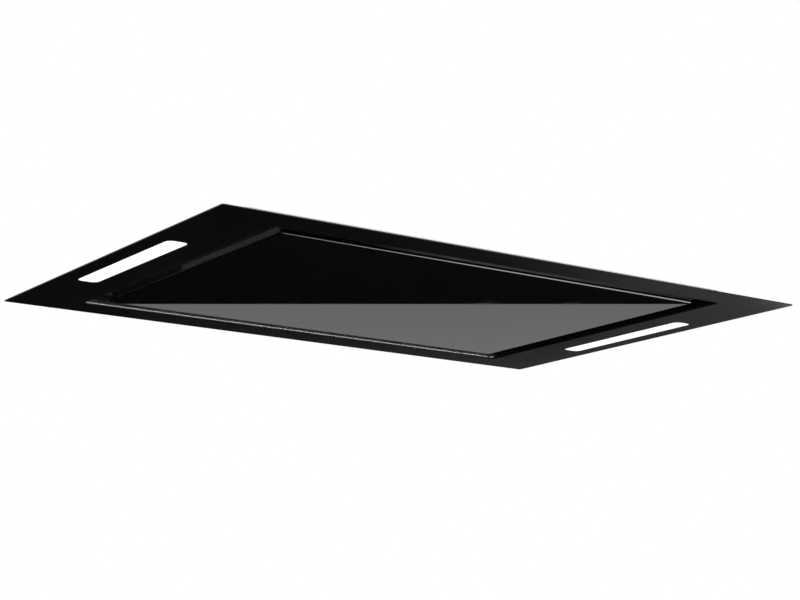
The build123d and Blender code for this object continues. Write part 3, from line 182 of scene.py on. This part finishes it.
def brushed(name, colour, roughness, along, depth=0.003 * MM):
    """Metal with fine lines along one axis."""
    lines = tuple(0.02 if axis == along else 1 for axis in "XYZ")
    look = Look(name, Metallic=1.0)
    look.mottle(look.noise(6 * MM, detail=4), colour, 0.88, 1.08)
    grain = look.noise(0.25 * MM, detail=3, scale=lines)
    look.roughen(grain, roughness - 0.08, roughness + 0.1)
    look.bump(grain, depth)
    return look


def plated(name, colour, tint, roughness):
    """Plated steel, whose thin film shifts slowly in colour."""
    look = Look(name, Metallic=1.0)
    film = look.noise(7 * MM, detail=3)
    look.feed("Base Color", look.blend(film, colour, tint, start=0.35, end=0.7))
    look.roughen(look.noise(1.5 * MM, detail=4), roughness - 0.06, roughness + 0.1)
    look.bump(look.noise(0.6 * MM), depth=0.003 * MM)
    return look


def galvanised(name, colour):
    """Zinc-coated sheet: crystals of their own shade and gloss, with fine feathering inside them."""
    look = Look(name, Metallic=1.0)
    crystal = look.cells(8 * MM)
    feather = look.noise(1.6 * MM, detail=5)
    shade = look.total(look.between(crystal, 0.0, 0.7), look.between(feather, 0.0, 0.3))
    look.mottle(shade, colour, 0.86, 1.1)
    look.feed("Roughness", look.between(crystal, 0.34, 0.44))
    look.bump(feather, depth=0.01 * MM)
    look.bump(look.noise(140 * MM), depth=0.25 * MM)
    return look


def polished(name, colour, roughness):
    """Ground or nickel-plated metal with faint scratches."""
    look = Look(name, Metallic=1.0)
    look.mottle(look.noise(5 * MM, detail=3), colour, 0.93, 1.05)
    scratches = look.noise(0.3 * MM, scale=(1, 1, 0.05))
    gloss = look.between(scratches, roughness, roughness + 0.12, start=0.45, end=0.75)
    look.feed("Roughness", gloss)
    return look


def rubber(name, colour):
    """Moulded rubber with a dull bloom."""
    look = Look(name)
    bloom = look.noise(6 * MM, detail=5)
    look.feed("Base Color", look.blend(bloom, colour, scaled(colour, 1.9), start=0.4, end=0.8))
    look.roughen(look.noise(3 * MM, detail=3), 0.62, 0.85)
    look.bump(look.noise(0.8 * MM, detail=3), depth=0.02 * MM)
    return look


def gloss_black_glass():
    """Back-enamelled glass: a mirror-like face with a little wiped-on haze."""
    look = Look("black_glass", IOR=1.5)
    look.feed("Base Color", look.blend(look.noise(90 * MM, detail=3), grey(0.0018), grey(0.003)))
    haze = look.noise(70 * MM, detail=4, scale=(1, 0.3, 1))
    look.feed("Roughness", look.between(haze, 0.0, 0.02, start=0.45, end=0.8))
    return look


def lit_diffuser():
    """Opal acrylic, lit from behind, a trace brighter over each light source."""
    look = Look("lamp_diffuser", Roughness=0.45, Emission_Strength=0.6)
    clouding = look.noise(4 * MM, detail=3)
    look.feed("Base Color", look.blend(clouding, (0.86, 0.86, 0.84), (0.9, 0.9, 0.88)))
    sources = look.waves(14 * MM, "Y")
    look.feed("Emission Color", look.blend(sources, (0.97, 0.98, 1.0), (1.0, 1.0, 1.0)))
    look.bump(look.noise(0.5 * MM), depth=0.004 * MM)
    return look


def copper_winding():
    """Turns of varnished wire round the motor's axle, with painted shade in the grooves between them."""
    look = Look("winding_copper", Metallic=0.85)
    turns = look.waves(0.7 * MM, "X", distortion=0.4)
    # The base colour is darkest in the grooves between turns and lightest on their crowns: painted shade
    # in the grooves
    look.feed("Base Color", look.blend(turns, (0.3, 0.11, 0.04), (0.72, 0.36, 0.16)))
    look.feed("Roughness", look.between(turns, 0.5, 0.28))
    look.bump(turns, depth=0.2 * MM)
    return look


def circuit_board_green():
    """Solder mask over copper tracks."""
    look = Look("board_green", Coat_Weight=0.4, Coat_Roughness=0.15)
    tracks = look.cells(5 * MM, scale=(1, 3, 1))
    mask = look.blend(tracks, (0.01, 0.09, 0.03), (0.03, 0.2, 0.07), start=0.45, end=0.55)
    look.feed("Base Color", mask)
    look.feed("Roughness", look.between(look.noise(2 * MM, detail=3), 0.3, 0.45))
    look.bump(tracks, depth=0.03 * MM)
    return look


def stacked_iron():
    """Thin steel sheets stacked along the axle."""
    look = Look("rotor_iron", Metallic=0.9)
    sheets = look.waves(0.5 * MM, "X")
    patches = look.noise(4 * MM, detail=4)
    look.feed("Base Color", look.blend(patches, (0.16, 0.15, 0.14), (0.34, 0.33, 0.32)))
    look.feed("Roughness", look.between(sheets, 0.4, 0.65))
    look.bump(sheets, depth=0.06 * MM)
    return look


looks = [
    painted("frame_black", grey(0.0015), 0.33),
    painted("tray_black", grey(0.008), 0.4),
    painted("carrier_black", grey(0.005), 0.4),
    painted("bracket_black", (0.035, 0.035, 0.037), 0.45),
    moulded("black_plastic", (0.02, 0.02, 0.021), 0.42),
    moulded("impeller_plastic", (0.08, 0.085, 0.095), 0.5, grain=0.9 * MM, depth=0.02 * MM),
    moulded("box_plastic", (0.55, 0.56, 0.57), 0.42),
    moulded("terminal_plastic", (0.8, 0.8, 0.77), 0.4),
    moulded("lamp_board", (0.85, 0.85, 0.83), 0.35),
    moulded("lamp_chip", (0.9, 0.78, 0.3), 0.25),
    moulded("capacitor_can", (0.74, 0.74, 0.73), 0.28, grain=3 * MM, depth=0.01 * MM),
    brushed("lamp_aluminium", (0.72, 0.73, 0.74), 0.36, along="Y"),
    brushed("filter_aluminium", (0.76, 0.77, 0.78), 0.33, along="X"),
    brushed("filter_mesh", (0.74, 0.75, 0.76), 0.34, along="X"),
    brushed("motor_can", (0.6, 0.61, 0.62), 0.45, along="X", depth=0.006 * MM),
    plated("zinc_fastener", (0.66, 0.68, 0.72), (0.72, 0.7, 0.62), 0.28),
    plated("hinge_steel", (0.6, 0.62, 0.66), (0.66, 0.64, 0.58), 0.3),
    polished("spring_steel", (0.6, 0.6, 0.61), 0.2),
    polished("pin_steel", (0.74, 0.74, 0.75), 0.14),
    polished("magnet_nickel", (0.7, 0.69, 0.66), 0.1),
    polished("bearing_steel", (0.7, 0.7, 0.71), 0.15),
    galvanised("galvanised_sheet", (0.62, 0.64, 0.66)),
    rubber("black_rubber", grey(0.018)),
    rubber("bonding_tape", grey(0.03)),
    gloss_black_glass(),
    lit_diffuser(),
    copper_winding(),
    circuit_board_green(),
    stacked_iron(),
]

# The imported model's materials hold the slots' names already, so a finish's own name ends in a number
finishes = {look.material.name.split(".")[0]: look.material for look in looks}
for node in nodes.values():
    slot_name = node.data.materials[0].name
    node.data.materials[0] = finishes[slot_name]

# Mesh settings: corners that count as one, decimals that tell solids apart, and the edges that stay sharp
weld_distance = 0.001 * MM
place_decimals = 5
sharp_angle = radians(40)


def solids_of(node):
    """The points of each separate solid of a CAD node, in a fixed order of solids."""
    mesh = bmesh.new()
    mesh.from_mesh(nodes[node].data)
    bmesh.ops.remove_doubles(mesh, verts=mesh.verts, dist=weld_distance)
    waiting = set(mesh.verts)
    solids = []
    while waiting:
        reached = [waiting.pop()]
        points = []
        while reached:
            vertex = reached.pop()
            points.append(vertex.co.copy())
            for edge in vertex.link_edges:
                other = edge.other_vert(vertex)
                if other in waiting:
                    waiting.discard(other)
                    reached.append(other)
        solids.append(points)
    mesh.free()
    return sorted(solids, key=first_place)


def first_place(points):
    """The lowest of some points in reading order, rounded so that two runs agree."""
    return tuple(round(value, place_decimals) for value in min(points, key=tuple))


def extent(points):
    """The lowest and highest corner of some points."""
    low = Vector([min(point[axis] for point in points) for axis in range(3)])
    high = Vector([max(point[axis] for point in points) for axis in range(3)])
    return low, high


def new_piece(name, mesh, slot_name, stands_for, body="root"):
    """A finished piece of the object, made from a bmesh, that stands for a CAD node."""
    data = bpy.data.meshes.new(name)
    mesh.to_mesh(data)
    mesh.free()
    data.shade_smooth()
    data.set_sharp_from_angle(angle=sharp_angle)
    piece = bpy.data.objects.new(name, data)
    bpy.context.scene.collection.objects.link(piece)
    data.materials.append(finishes[slot_name])
    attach(piece, body)
    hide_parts(stands_for)
    return piece


def join_rings(mesh, rings):
    """Faces between rings with the same number of points, and a cap at each end."""
    for low, high in zip(rings, rings[1:]):
        for step in range(len(low)):
            after = (step + 1) % len(low)
            mesh.faces.new((low[step], low[after], high[after], high[step]))
    mesh.faces.new(list(reversed(rings[0])))
    mesh.faces.new(rings[-1])


def rod(mesh, path, half_width, half_height, sides, upward):
    """A closed rod along a path, with as many sides as asked."""
    turns = [tau * (side + 0.5) / sides for side in range(sides)]
    rings = []
    for index, point in enumerate(path):
        before = path[max(index - 1, 0)]
        after = path[min(index + 1, len(path) - 1)]
        sideways = (after - before).cross(upward).normalized()
        up = sideways.cross(after - before).normalized()
        ring = [
            mesh.verts.new(point + sideways * (half_width * cos(turn)) + up * (half_height * sin(turn)))
            for turn in turns
        ]
        rings.append(ring)
    join_rings(mesh, rings)


# Filter pads: flat faces of expanded aluminium with two rippled sheets between them
strand_half_width = 0.6 * MM
strand_half_height = 0.3 * MM
strand_sides = 4
strand_pitch = 6.0 * MM
bend_pitch = 6.0 * MM
bend_twist = 0.15 * MM
ripple_pitch = 24.0 * MM
ripple_height = 0.7 * MM
face_inset = strand_half_height + bend_twist
inner_share = 1 / 6


def expanded_sheet(mesh, low, high, level, crosswise, ripple):
    """A sheet of expanded metal: wavy strands that meet at their bends."""
    first, second = (1, 0) if crosswise else (0, 1)
    start = Vector((low[first], low[second])) + Vector((1, 1)) * strand_half_width
    size = Vector((high[first], high[second])) - Vector((1, 1)) * strand_half_width - start
    bends = round(size.x / bend_pitch)
    rows = round(size.y / strand_pitch)
    for row in range(rows):
        path = []
        for bend in range(bends + 1):
            lean = 1 if (row + bend) % 2 else -1
            along = start.x + size.x * bend / bends
            across = start.y + size.y * (row + 0.5 + lean / 2) / rows
            height = level + lean * bend_twist + ripple * sin(tau * along / ripple_pitch)
            path.append(Vector((across, along, height)) if crosswise else Vector((along, across, height)))
        rod(mesh, path, strand_half_width, strand_half_height, strand_sides, UP)


for side in ("left", "right"):
    pad_low, pad_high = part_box(f"filter_mesh_{side}")
    middle = (pad_low.z + pad_high.z) / 2
    inner_offset = (pad_high.z - pad_low.z) * inner_share
    layers = [
        (pad_low.z + face_inset, False, 0),
        (middle - inner_offset, True, ripple_height),
        (middle + inner_offset, False, ripple_height),
        (pad_high.z - face_inset, False, 0),
    ]
    pad = bmesh.new()
    for level, crosswise, ripple in layers:
        expanded_sheet(pad, pad_low, pad_high, level, crosswise, ripple)
    new_piece(f"expanded_mesh_{side}", pad, "filter_mesh", f"filter_mesh_{side}")

# Latch springs: close-wound at both ends
spring_turns = 8
points_per_turn = 16
wire_radius = 0.25 * MM
spring_sides = 8
end_turn = 2.1 * wire_radius
for solid in solids_of("latch_springs"):
    low, high = extent(solid)
    direction = 1 if low.x > 0 else -1
    side = "right" if direction > 0 else "left"
    near, far = (low.x, high.x) if direction > 0 else (high.x, low.x)
    radius = (high.z - low.z) / 2 - wire_radius
    centre = (high.z + low.z) / 2
    free_length = abs(far - near) - 2 * wire_radius - 2 * end_turn
    path = []
    for step in range(spring_turns * points_per_turn + 1):
        turn = step / points_per_turn
        wound = min(turn, 1) + max(turn - spring_turns + 1, 0)
        open_share = min(max(turn - 1, 0), spring_turns - 2) / (spring_turns - 2)
        along = near + direction * (wire_radius + wound * end_turn + open_share * free_length)
        path.append(Vector((along, radius * cos(tau * turn), centre + radius * sin(tau * turn))))
    coil = bmesh.new()
    rod(coil, path, wire_radius, wire_radius, spring_sides, Vector((1, 0, 0)))
    spring = new_piece(f"coil_spring_{side}", coil, "spring_steel", "latch_springs")
    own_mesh(spring)


def round_outline(radius):
    """The distance of a circle's edge in any direction."""
    return lambda turn: radius


def hexagon_outline(apothem, rounded_to=inf):
    """The distance of a hexagon's edge in each direction, with its corners cut to a circle if asked."""
    return lambda turn: min(apothem / cos((turn % (tau / 6)) - tau / 12), rounded_to)


def cross_outline(reach, half_arm):
    """The distance of a cross's edge in each direction, with arms of one width."""
    least_sine = 1e-6

    def distance(turn):
        fold = abs((turn + tau / 8) % (tau / 4) - tau / 8)
        return min(reach / cos(fold), half_arm / max(sin(fold), least_sine))

    return distance


def turned(mesh, place, turns, profile):
    """A solid whose section at each height is one outline."""
    rings = []
    for outline, height in profile:
        ring = [
            mesh.verts.new(place @ Vector((outline(turn) * cos(turn), outline(turn) * sin(turn), height)))
            for turn in turns
        ]
        rings.append(ring)
    join_rings(mesh, rings)


def screw_place(points, head_height, turn):
    """Where a screw's head meets its seat, with Z out of the head, turned about it."""
    low, high = extent(points)
    size = high - low
    axis = max(range(3), key=lambda index: size[index])
    middle = (low + high) / 2
    across = [index for index in range(3) if index != axis]
    widest = max(points, key=lambda point: hypot(*(point[index] - middle[index] for index in across)))
    out = Vector((0, 0, 0))
    out[axis] = 1 if widest[axis] > middle[axis] else -1
    seat = middle + out * (size[axis] / 2 - head_height)
    sideways = Vector((1, 0, 0)) if axis == 1 else Vector((0, 1, 0))
    turned_frame = Matrix((sideways, out.cross(sideways), out)).transposed().to_4x4()
    return Matrix.Translation(seat) @ turned_frame @ Matrix.Rotation(turn, 4, "Z")


def thread(radius, depth, pitch, start, end):
    """Ridges of a thread, from one height up to another."""
    count = round((end - start) / pitch)
    profile = []
    for index in range(count):
        foot = start + (end - start) * index / count
        profile.append((round_outline(radius - depth), foot))
        profile.append((round_outline(radius), foot + pitch / 2))
    profile.append((round_outline(radius - depth), end))
    return profile


def round_steps(steps):
    """Round outlines from pairs of a radius and a height in millimetres."""
    return [(round_outline(radius * MM), height * MM) for radius, height in steps]


# Small screws: domed heads with a cross recess, and a thread. Heights are above the head's seat
screw_head = 2.6 * MM
recess_reach = 1.9 * MM
recess_half_arm = 0.5 * MM
recess_floor = 1.1 * MM
recess_floor_reach = 0.8 * recess_reach
recess_floor_half_arm = 0.7 * recess_half_arm
recess_corner = atan(recess_half_arm / recess_reach)
arm_turns = (-recess_corner, -recess_corner / 2, 0, recess_corner / 2, recess_corner)
turns_between_arms = (0.53, tau / 8, 1.04)
screw_turns = sorted(
    (quarter * tau / 4 + angle) % tau
    for quarter in range(4)
    for angle in (*arm_turns, *turns_between_arms)
)
screw_profile = [
    *round_steps([(1.4, -8.0)]),
    *thread(radius=2.0 * MM, depth=0.35 * MM, pitch=1.0 * MM, start=-7.6 * MM, end=-0.6 * MM),
    *round_steps([(1.9, 0), (3.7, 0), (3.8, 0.2), (3.75, 0.8), (3.5, 1.5), (3.0, 2.1), (2.4, 2.5)]),
    (cross_outline(recess_reach, recess_half_arm), screw_head),
    (cross_outline(recess_floor_reach, recess_floor_half_arm), recess_floor),
]

# Each screw is turned on by about the golden angle, so no two recesses line up
golden_turn = 2.4
screws = bmesh.new()
for index, solid in enumerate(solids_of("m4_screws")):
    turned(screws, screw_place(solid, screw_head, index * golden_turn), screw_turns, screw_profile)
new_piece("cross_recess_screws", screws, "zinc_fastener", "m4_screws")

# Hanger screws: hexagon heads on a washer face, with a thread and a dished top
bolt_head = 4.0 * MM
bolt_apothem = 5.0 * MM
bolt_corner_cut = 5.3 * MM
bolt_steps = 36
bolt_turns = [tau * step / bolt_steps for step in range(bolt_steps)]
bolt_profile = [
    *round_steps([(2.3, -9.0)]),
    *thread(radius=3.0 * MM, depth=0.45 * MM, pitch=1.0 * MM, start=-8.4 * MM, end=-0.4 * MM),
    *round_steps([(2.9, 0), (4.8, 0), (4.8, 0.35)]),
    (hexagon_outline(bolt_apothem), 0.5 * MM),
    (hexagon_outline(bolt_apothem), 3.5 * MM),
    (hexagon_outline(bolt_apothem, bolt_corner_cut), 3.75 * MM),
    (round_outline(4.7 * MM), bolt_head),
    (round_outline(3.4 * MM), bolt_head),
    *round_steps([(3.0, 3.7)]),
]
bolts = bmesh.new()
for solid in solids_of("hanger_screws"):
    turned(bolts, screw_place(solid, bolt_head, 0), bolt_turns, bolt_profile)
new_piece("hexagon_screws", bolts, "zinc_fastener", "hanger_screws")

# Camera: below the hood and looking up at it, turned from +Y towards +X
camera_place = Vector((-1.3919, -1.9811, -0.5342))
camera_turn = radians(35.071)
camera_rise = radians(12.552)
camera_lens = 81.48
camera_sensor = 36
ground = Vector((sin(camera_turn), cos(camera_turn), 0))
across_view = Vector((ground.y, -ground.x, 0))
sight = ground * cos(camera_rise) + UP * sin(camera_rise)
camera = bpy.data.objects.new("camera", bpy.data.cameras.new("camera"))
bpy.context.scene.collection.objects.link(camera)
camera.data.lens = camera_lens
camera.data.sensor_width = camera_sensor
camera.location = camera_place
camera.rotation_euler = sight.to_track_quat("-Z", "Y").to_euler()
bpy.context.scene.camera = camera


def glow_material(name, strength):
    """Even light without a surface of its own."""
    material = bpy.data.materials.new(name)
    material.use_nodes = True
    material.cycles.emission_sampling = "NONE"
    tree = material.node_tree
    tree.nodes.clear()
    glow = add_node(tree, "ShaderNodeEmission", Strength=strength)
    add_node(tree, "ShaderNodeOutputMaterial", Surface=glow.outputs["Emission"])
    return material


def mixed_shader(tree, share, first, second):
    """A shader that goes from the first to the second as a share goes from 0 to 1."""
    mix = add_node(tree, "ShaderNodeMixShader", Fac=share)
    tree.links.new(first, mix.inputs[1])
    tree.links.new(second, mix.inputs[2])
    return mix.outputs["Shader"]


def clear_from_behind(material):
    """Makes a material see-through from the back of its card."""
    tree = material.node_tree
    surface = tree.nodes["Material Output"].inputs["Surface"]
    shown = surface.links[0].from_socket
    behind = add_node(tree, "ShaderNodeNewGeometry").outputs["Backfacing"]
    clear = add_node(tree, "ShaderNodeBsdfTransparent").outputs["BSDF"]
    tree.links.new(mixed_shader(tree, behind, shown, clear), surface)


def card(name, corners, faces, material):
    """A flat stage piece."""
    data = bpy.data.meshes.new(name)
    data.from_pydata([tuple(corner) for corner in corners], [], faces)
    piece = bpy.data.objects.new(name, data)
    bpy.context.scene.collection.objects.link(piece)
    data.materials.append(material)
    return piece


def shown_to(piece, *rays):
    """Lets a stage piece show to some kinds of ray alone."""
    for ray in ("camera", "diffuse", "glossy", "transmission", "shadow"):
        setattr(piece, f"visible_{ray}", ray in rays)


def linked(piece, names, state):
    """Limits a light or lit card to some CAD nodes, or keeps it from them."""
    receivers = bpy.data.collections.new(piece.name + "_receivers")
    for name in names:
        receivers.objects.link(nodes[name])
    for entry in receivers.collection_objects:
        entry.light_linking.link_state = state
    piece.light_linking.receiver_collection = receivers


def square(half_x, half_y, height):
    """The corners of a rectangle round the origin, anticlockwise from above."""
    return [Vector((x * half_x, y * half_y, height)) for x, y in ((-1, -1), (1, -1), (1, 1), (-1, 1))]


whole_card = [(0, 1, 2, 3)]

# Ceiling round the casing, white from below and clear from above, for the camera alone
ceiling_z = 25.9 * MM
ceiling_reach = 30.0
casing_low, casing_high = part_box("casing_top")
casing_half = (casing_high - casing_low) / 2
hole = square(casing_half.x, casing_half.y, ceiling_z)
rim = square(ceiling_reach, ceiling_reach, ceiling_z)
ring_faces = [(corner, (corner + 1) % 4, 4 + (corner + 1) % 4, 4 + corner) for corner in range(4)]
ceiling = card("ceiling", hole + rim, ring_faces, glow_material("ceiling", 1.0))
clear_from_behind(ceiling.data.materials[0])
shown_to(ceiling, "camera")

# Floor, lower than the open glass panel reaches, and clear from below
floor_z = -0.65
floor_reach = 40.0
floor_colour = (*grey(0.82), 1)
floor_roughness = 0.9
floor_material = bpy.data.materials.new("floor")
floor_material.use_nodes = True
floor_shader = floor_material.node_tree.nodes["Principled BSDF"]
floor_shader.inputs["Base Color"].default_value = floor_colour
floor_shader.inputs["Roughness"].default_value = floor_roughness
clear_from_behind(floor_material)
floor = card("floor", square(floor_reach, floor_reach, floor_z), whole_card, floor_material)
shown_to(floor, "camera", "diffuse", "transmission")

# Reflected floors: three cards, one over another, so that the glass shows black between two grey areas
reflected_z = -5.0
reflected_step = 0.1
reflected_glow = 0.4
near_reach = 4.0
far_start = 25.13
far_reach = 500.0
far_spread = 0.5
dark_turns = (radians(-60), radians(75))
foot = Vector((camera_place.x, camera_place.y, reflected_z))
slot_nodes = ("panel_carrier", "suction_tray", "panel_tape")


def reflected_card(name, corners, kept_from):
    """A grey card that shows in glossy surfaces alone, and is black to the CAD nodes it is kept from."""
    piece = card(name, corners, whole_card, glow_material(name, reflected_glow))
    shown_to(piece, "glossy")
    linked(piece, kept_from, "EXCLUDE")


near_corners = square(far_reach, far_reach, reflected_z - 2 * reflected_step)
dark_corners = [
    foot + Vector((sin(turn), cos(turn), 0)) * distance - UP * reflected_step
    for distance, turns in ((near_reach, dark_turns), (far_reach, reversed(dark_turns)))
    for turn in turns
]
far_corners = [
    foot + (ground + across_view * (side * far_spread)) * distance
    for distance, side in ((far_start, -1), (far_start, 1), (far_reach, 1), (far_reach, -1))
]
reflected_card("near_floor", near_corners, slot_nodes)
reflected_card("dark_floor", dark_corners, ("glass_panel", "front_frame", *slot_nodes))
reflected_card("far_floor", far_corners, ("front_frame",))

# World: white where it shows or reflects, and otherwise a soft sky that is brighter above
sky_from = -0.3
sky_to = 0.8
sky_dim = 0.25
sky_bright = 0.8
world = bpy.data.worlds.new("world")
bpy.context.scene.world = world
world.use_nodes = True
sky = world.node_tree
sky.nodes.clear()
way = add_node(sky, "ShaderNodeTexCoord").outputs["Generated"]
rise = add_node(sky, "ShaderNodeSeparateXYZ", Vector=way).outputs["Z"]
shade_span = {"From_Min": sky_from, "From_Max": sky_to, "To_Min": sky_dim, "To_Max": sky_bright}
shade = add_node(sky, "ShaderNodeMapRange", Value=rise, **shade_span).outputs["Result"]
soft = add_node(sky, "ShaderNodeBackground", Color=shade).outputs["Background"]
white = add_node(sky, "ShaderNodeBackground", Color=(*grey(1), 1)).outputs["Background"]
ray_kind = add_node(sky, "ShaderNodeLightPath").outputs
shows = ray_kind["Is Camera Ray"]
for kind in ("Is Glossy Ray", "Is Transmission Ray"):
    either = add_node(sky, "ShaderNodeMath", Value=shows)
    either.operation = "MAXIMUM"
    sky.links.new(ray_kind[kind], either.inputs[1])
    shows = either.outputs["Value"]
add_node(sky, "ShaderNodeOutputWorld", Surface=mixed_shader(sky, shows, soft, white))


def softbox(name, turn, rise, distance, width, depth, radiance, aim=(0, 0, 0)):
    """A rectangular light that faces a point, by its turn from +Y towards +X and its rise from level."""
    light = bpy.data.lights.new(name, "AREA")
    light.shape = "RECTANGLE"
    light.size, light.size_y = width, depth
    light.energy = radiance * width * depth * pi
    box = bpy.data.objects.new(name, light)
    bpy.context.scene.collection.objects.link(box)
    box.visible_camera = False
    turn, rise = radians(turn), radians(rise)
    away = Vector((sin(turn) * cos(rise), cos(turn) * cos(rise), sin(rise)))
    box.location = Vector(aim) + away * distance
    box.rotation_euler = (-away).to_track_quat("-Z", "Y").to_euler()
    return box


spot_radius = 2 * MM


def slot_light(name, place, aim, half_width, softness, power):
    """A spotlight through a slot onto the carrier's wall, as wide as half_width each side of its aim."""
    light = bpy.data.lights.new(name, "SPOT")
    spot = bpy.data.objects.new(name, light)
    bpy.context.scene.collection.objects.link(spot)
    throw = Vector(aim) - Vector(place)
    spot.location = place
    spot.rotation_euler = throw.to_track_quat("-Z", "Y").to_euler()
    light.energy = power
    light.spot_size = 2 * atan(half_width / throw.length)
    light.spot_blend = softness
    light.shadow_soft_size = spot_radius
    linked(spot, ("panel_carrier",), "INCLUDE")


# Studio lights, above the hood
softbox("key", turn=160, rise=50, distance=3.5, width=3.8, depth=3.8, radiance=0.55)
softbox("fill", turn=-60, rise=40, distance=4.0, width=4.0, depth=2.8, radiance=0.5)
softbox("rear", turn=30, rise=35, distance=4.0, width=4.2, depth=2.2, radiance=0.5)

# Light along the glass's near edge
edge_glow = softbox("edge_glow", turn=115, rise=-38, distance=2.0, width=2.0, depth=1.6, radiance=6.2)
linked(edge_glow, ("glass_panel",), "INCLUDE")

# Sheen of the frame, brighter towards its right end, and a strip in the slot that lights its far fold
frame_corner = (0.4, -0.3, 0)
far_side = (0.15, 0.3, 0)
fold_lip = (0, 0.25, 1.0 * MM)
frame_glows = [
    softbox("frame_glow_far_right", 47.5, -25, 8.0, width=0.7, depth=1.96, radiance=0.78),
    softbox("frame_glow_far_left", 21, -4.5, 8.0, width=0.84, depth=0.98, radiance=0.05),
    softbox("frame_glow_corner", 68, -22, 1.0, width=0.6, depth=0.45, radiance=1.75, aim=frame_corner),
    softbox("frame_glow_behind", 38, -8.4, 0.41, width=0.9, depth=0.08, radiance=0.11, aim=far_side),
    softbox("fold_glow", 180, 0, 8 * MM, width=0.7, depth=1.8 * MM, radiance=36, aim=fold_lip),
]
for glow in frame_glows:
    linked(glow, ("front_frame",), "INCLUDE")

# Light on the carrier's walls, seen through the slots
left_wall = (-0.326, -0.097, 9 * MM)
near_wall = (0.11, -0.224, 9 * MM)
left_spot = (-0.926, -0.097, -0.243)
near_spot = (0.11, -1.024, -0.327)
slot_light("left_slot_glow", left_spot, left_wall, half_width=0.1215, softness=0.05, power=34)
slot_light("near_slot_glow", near_spot, near_wall, half_width=0.34, softness=1.0, power=85)

bpy.context.scene.view_settings.view_transform = "Standard"
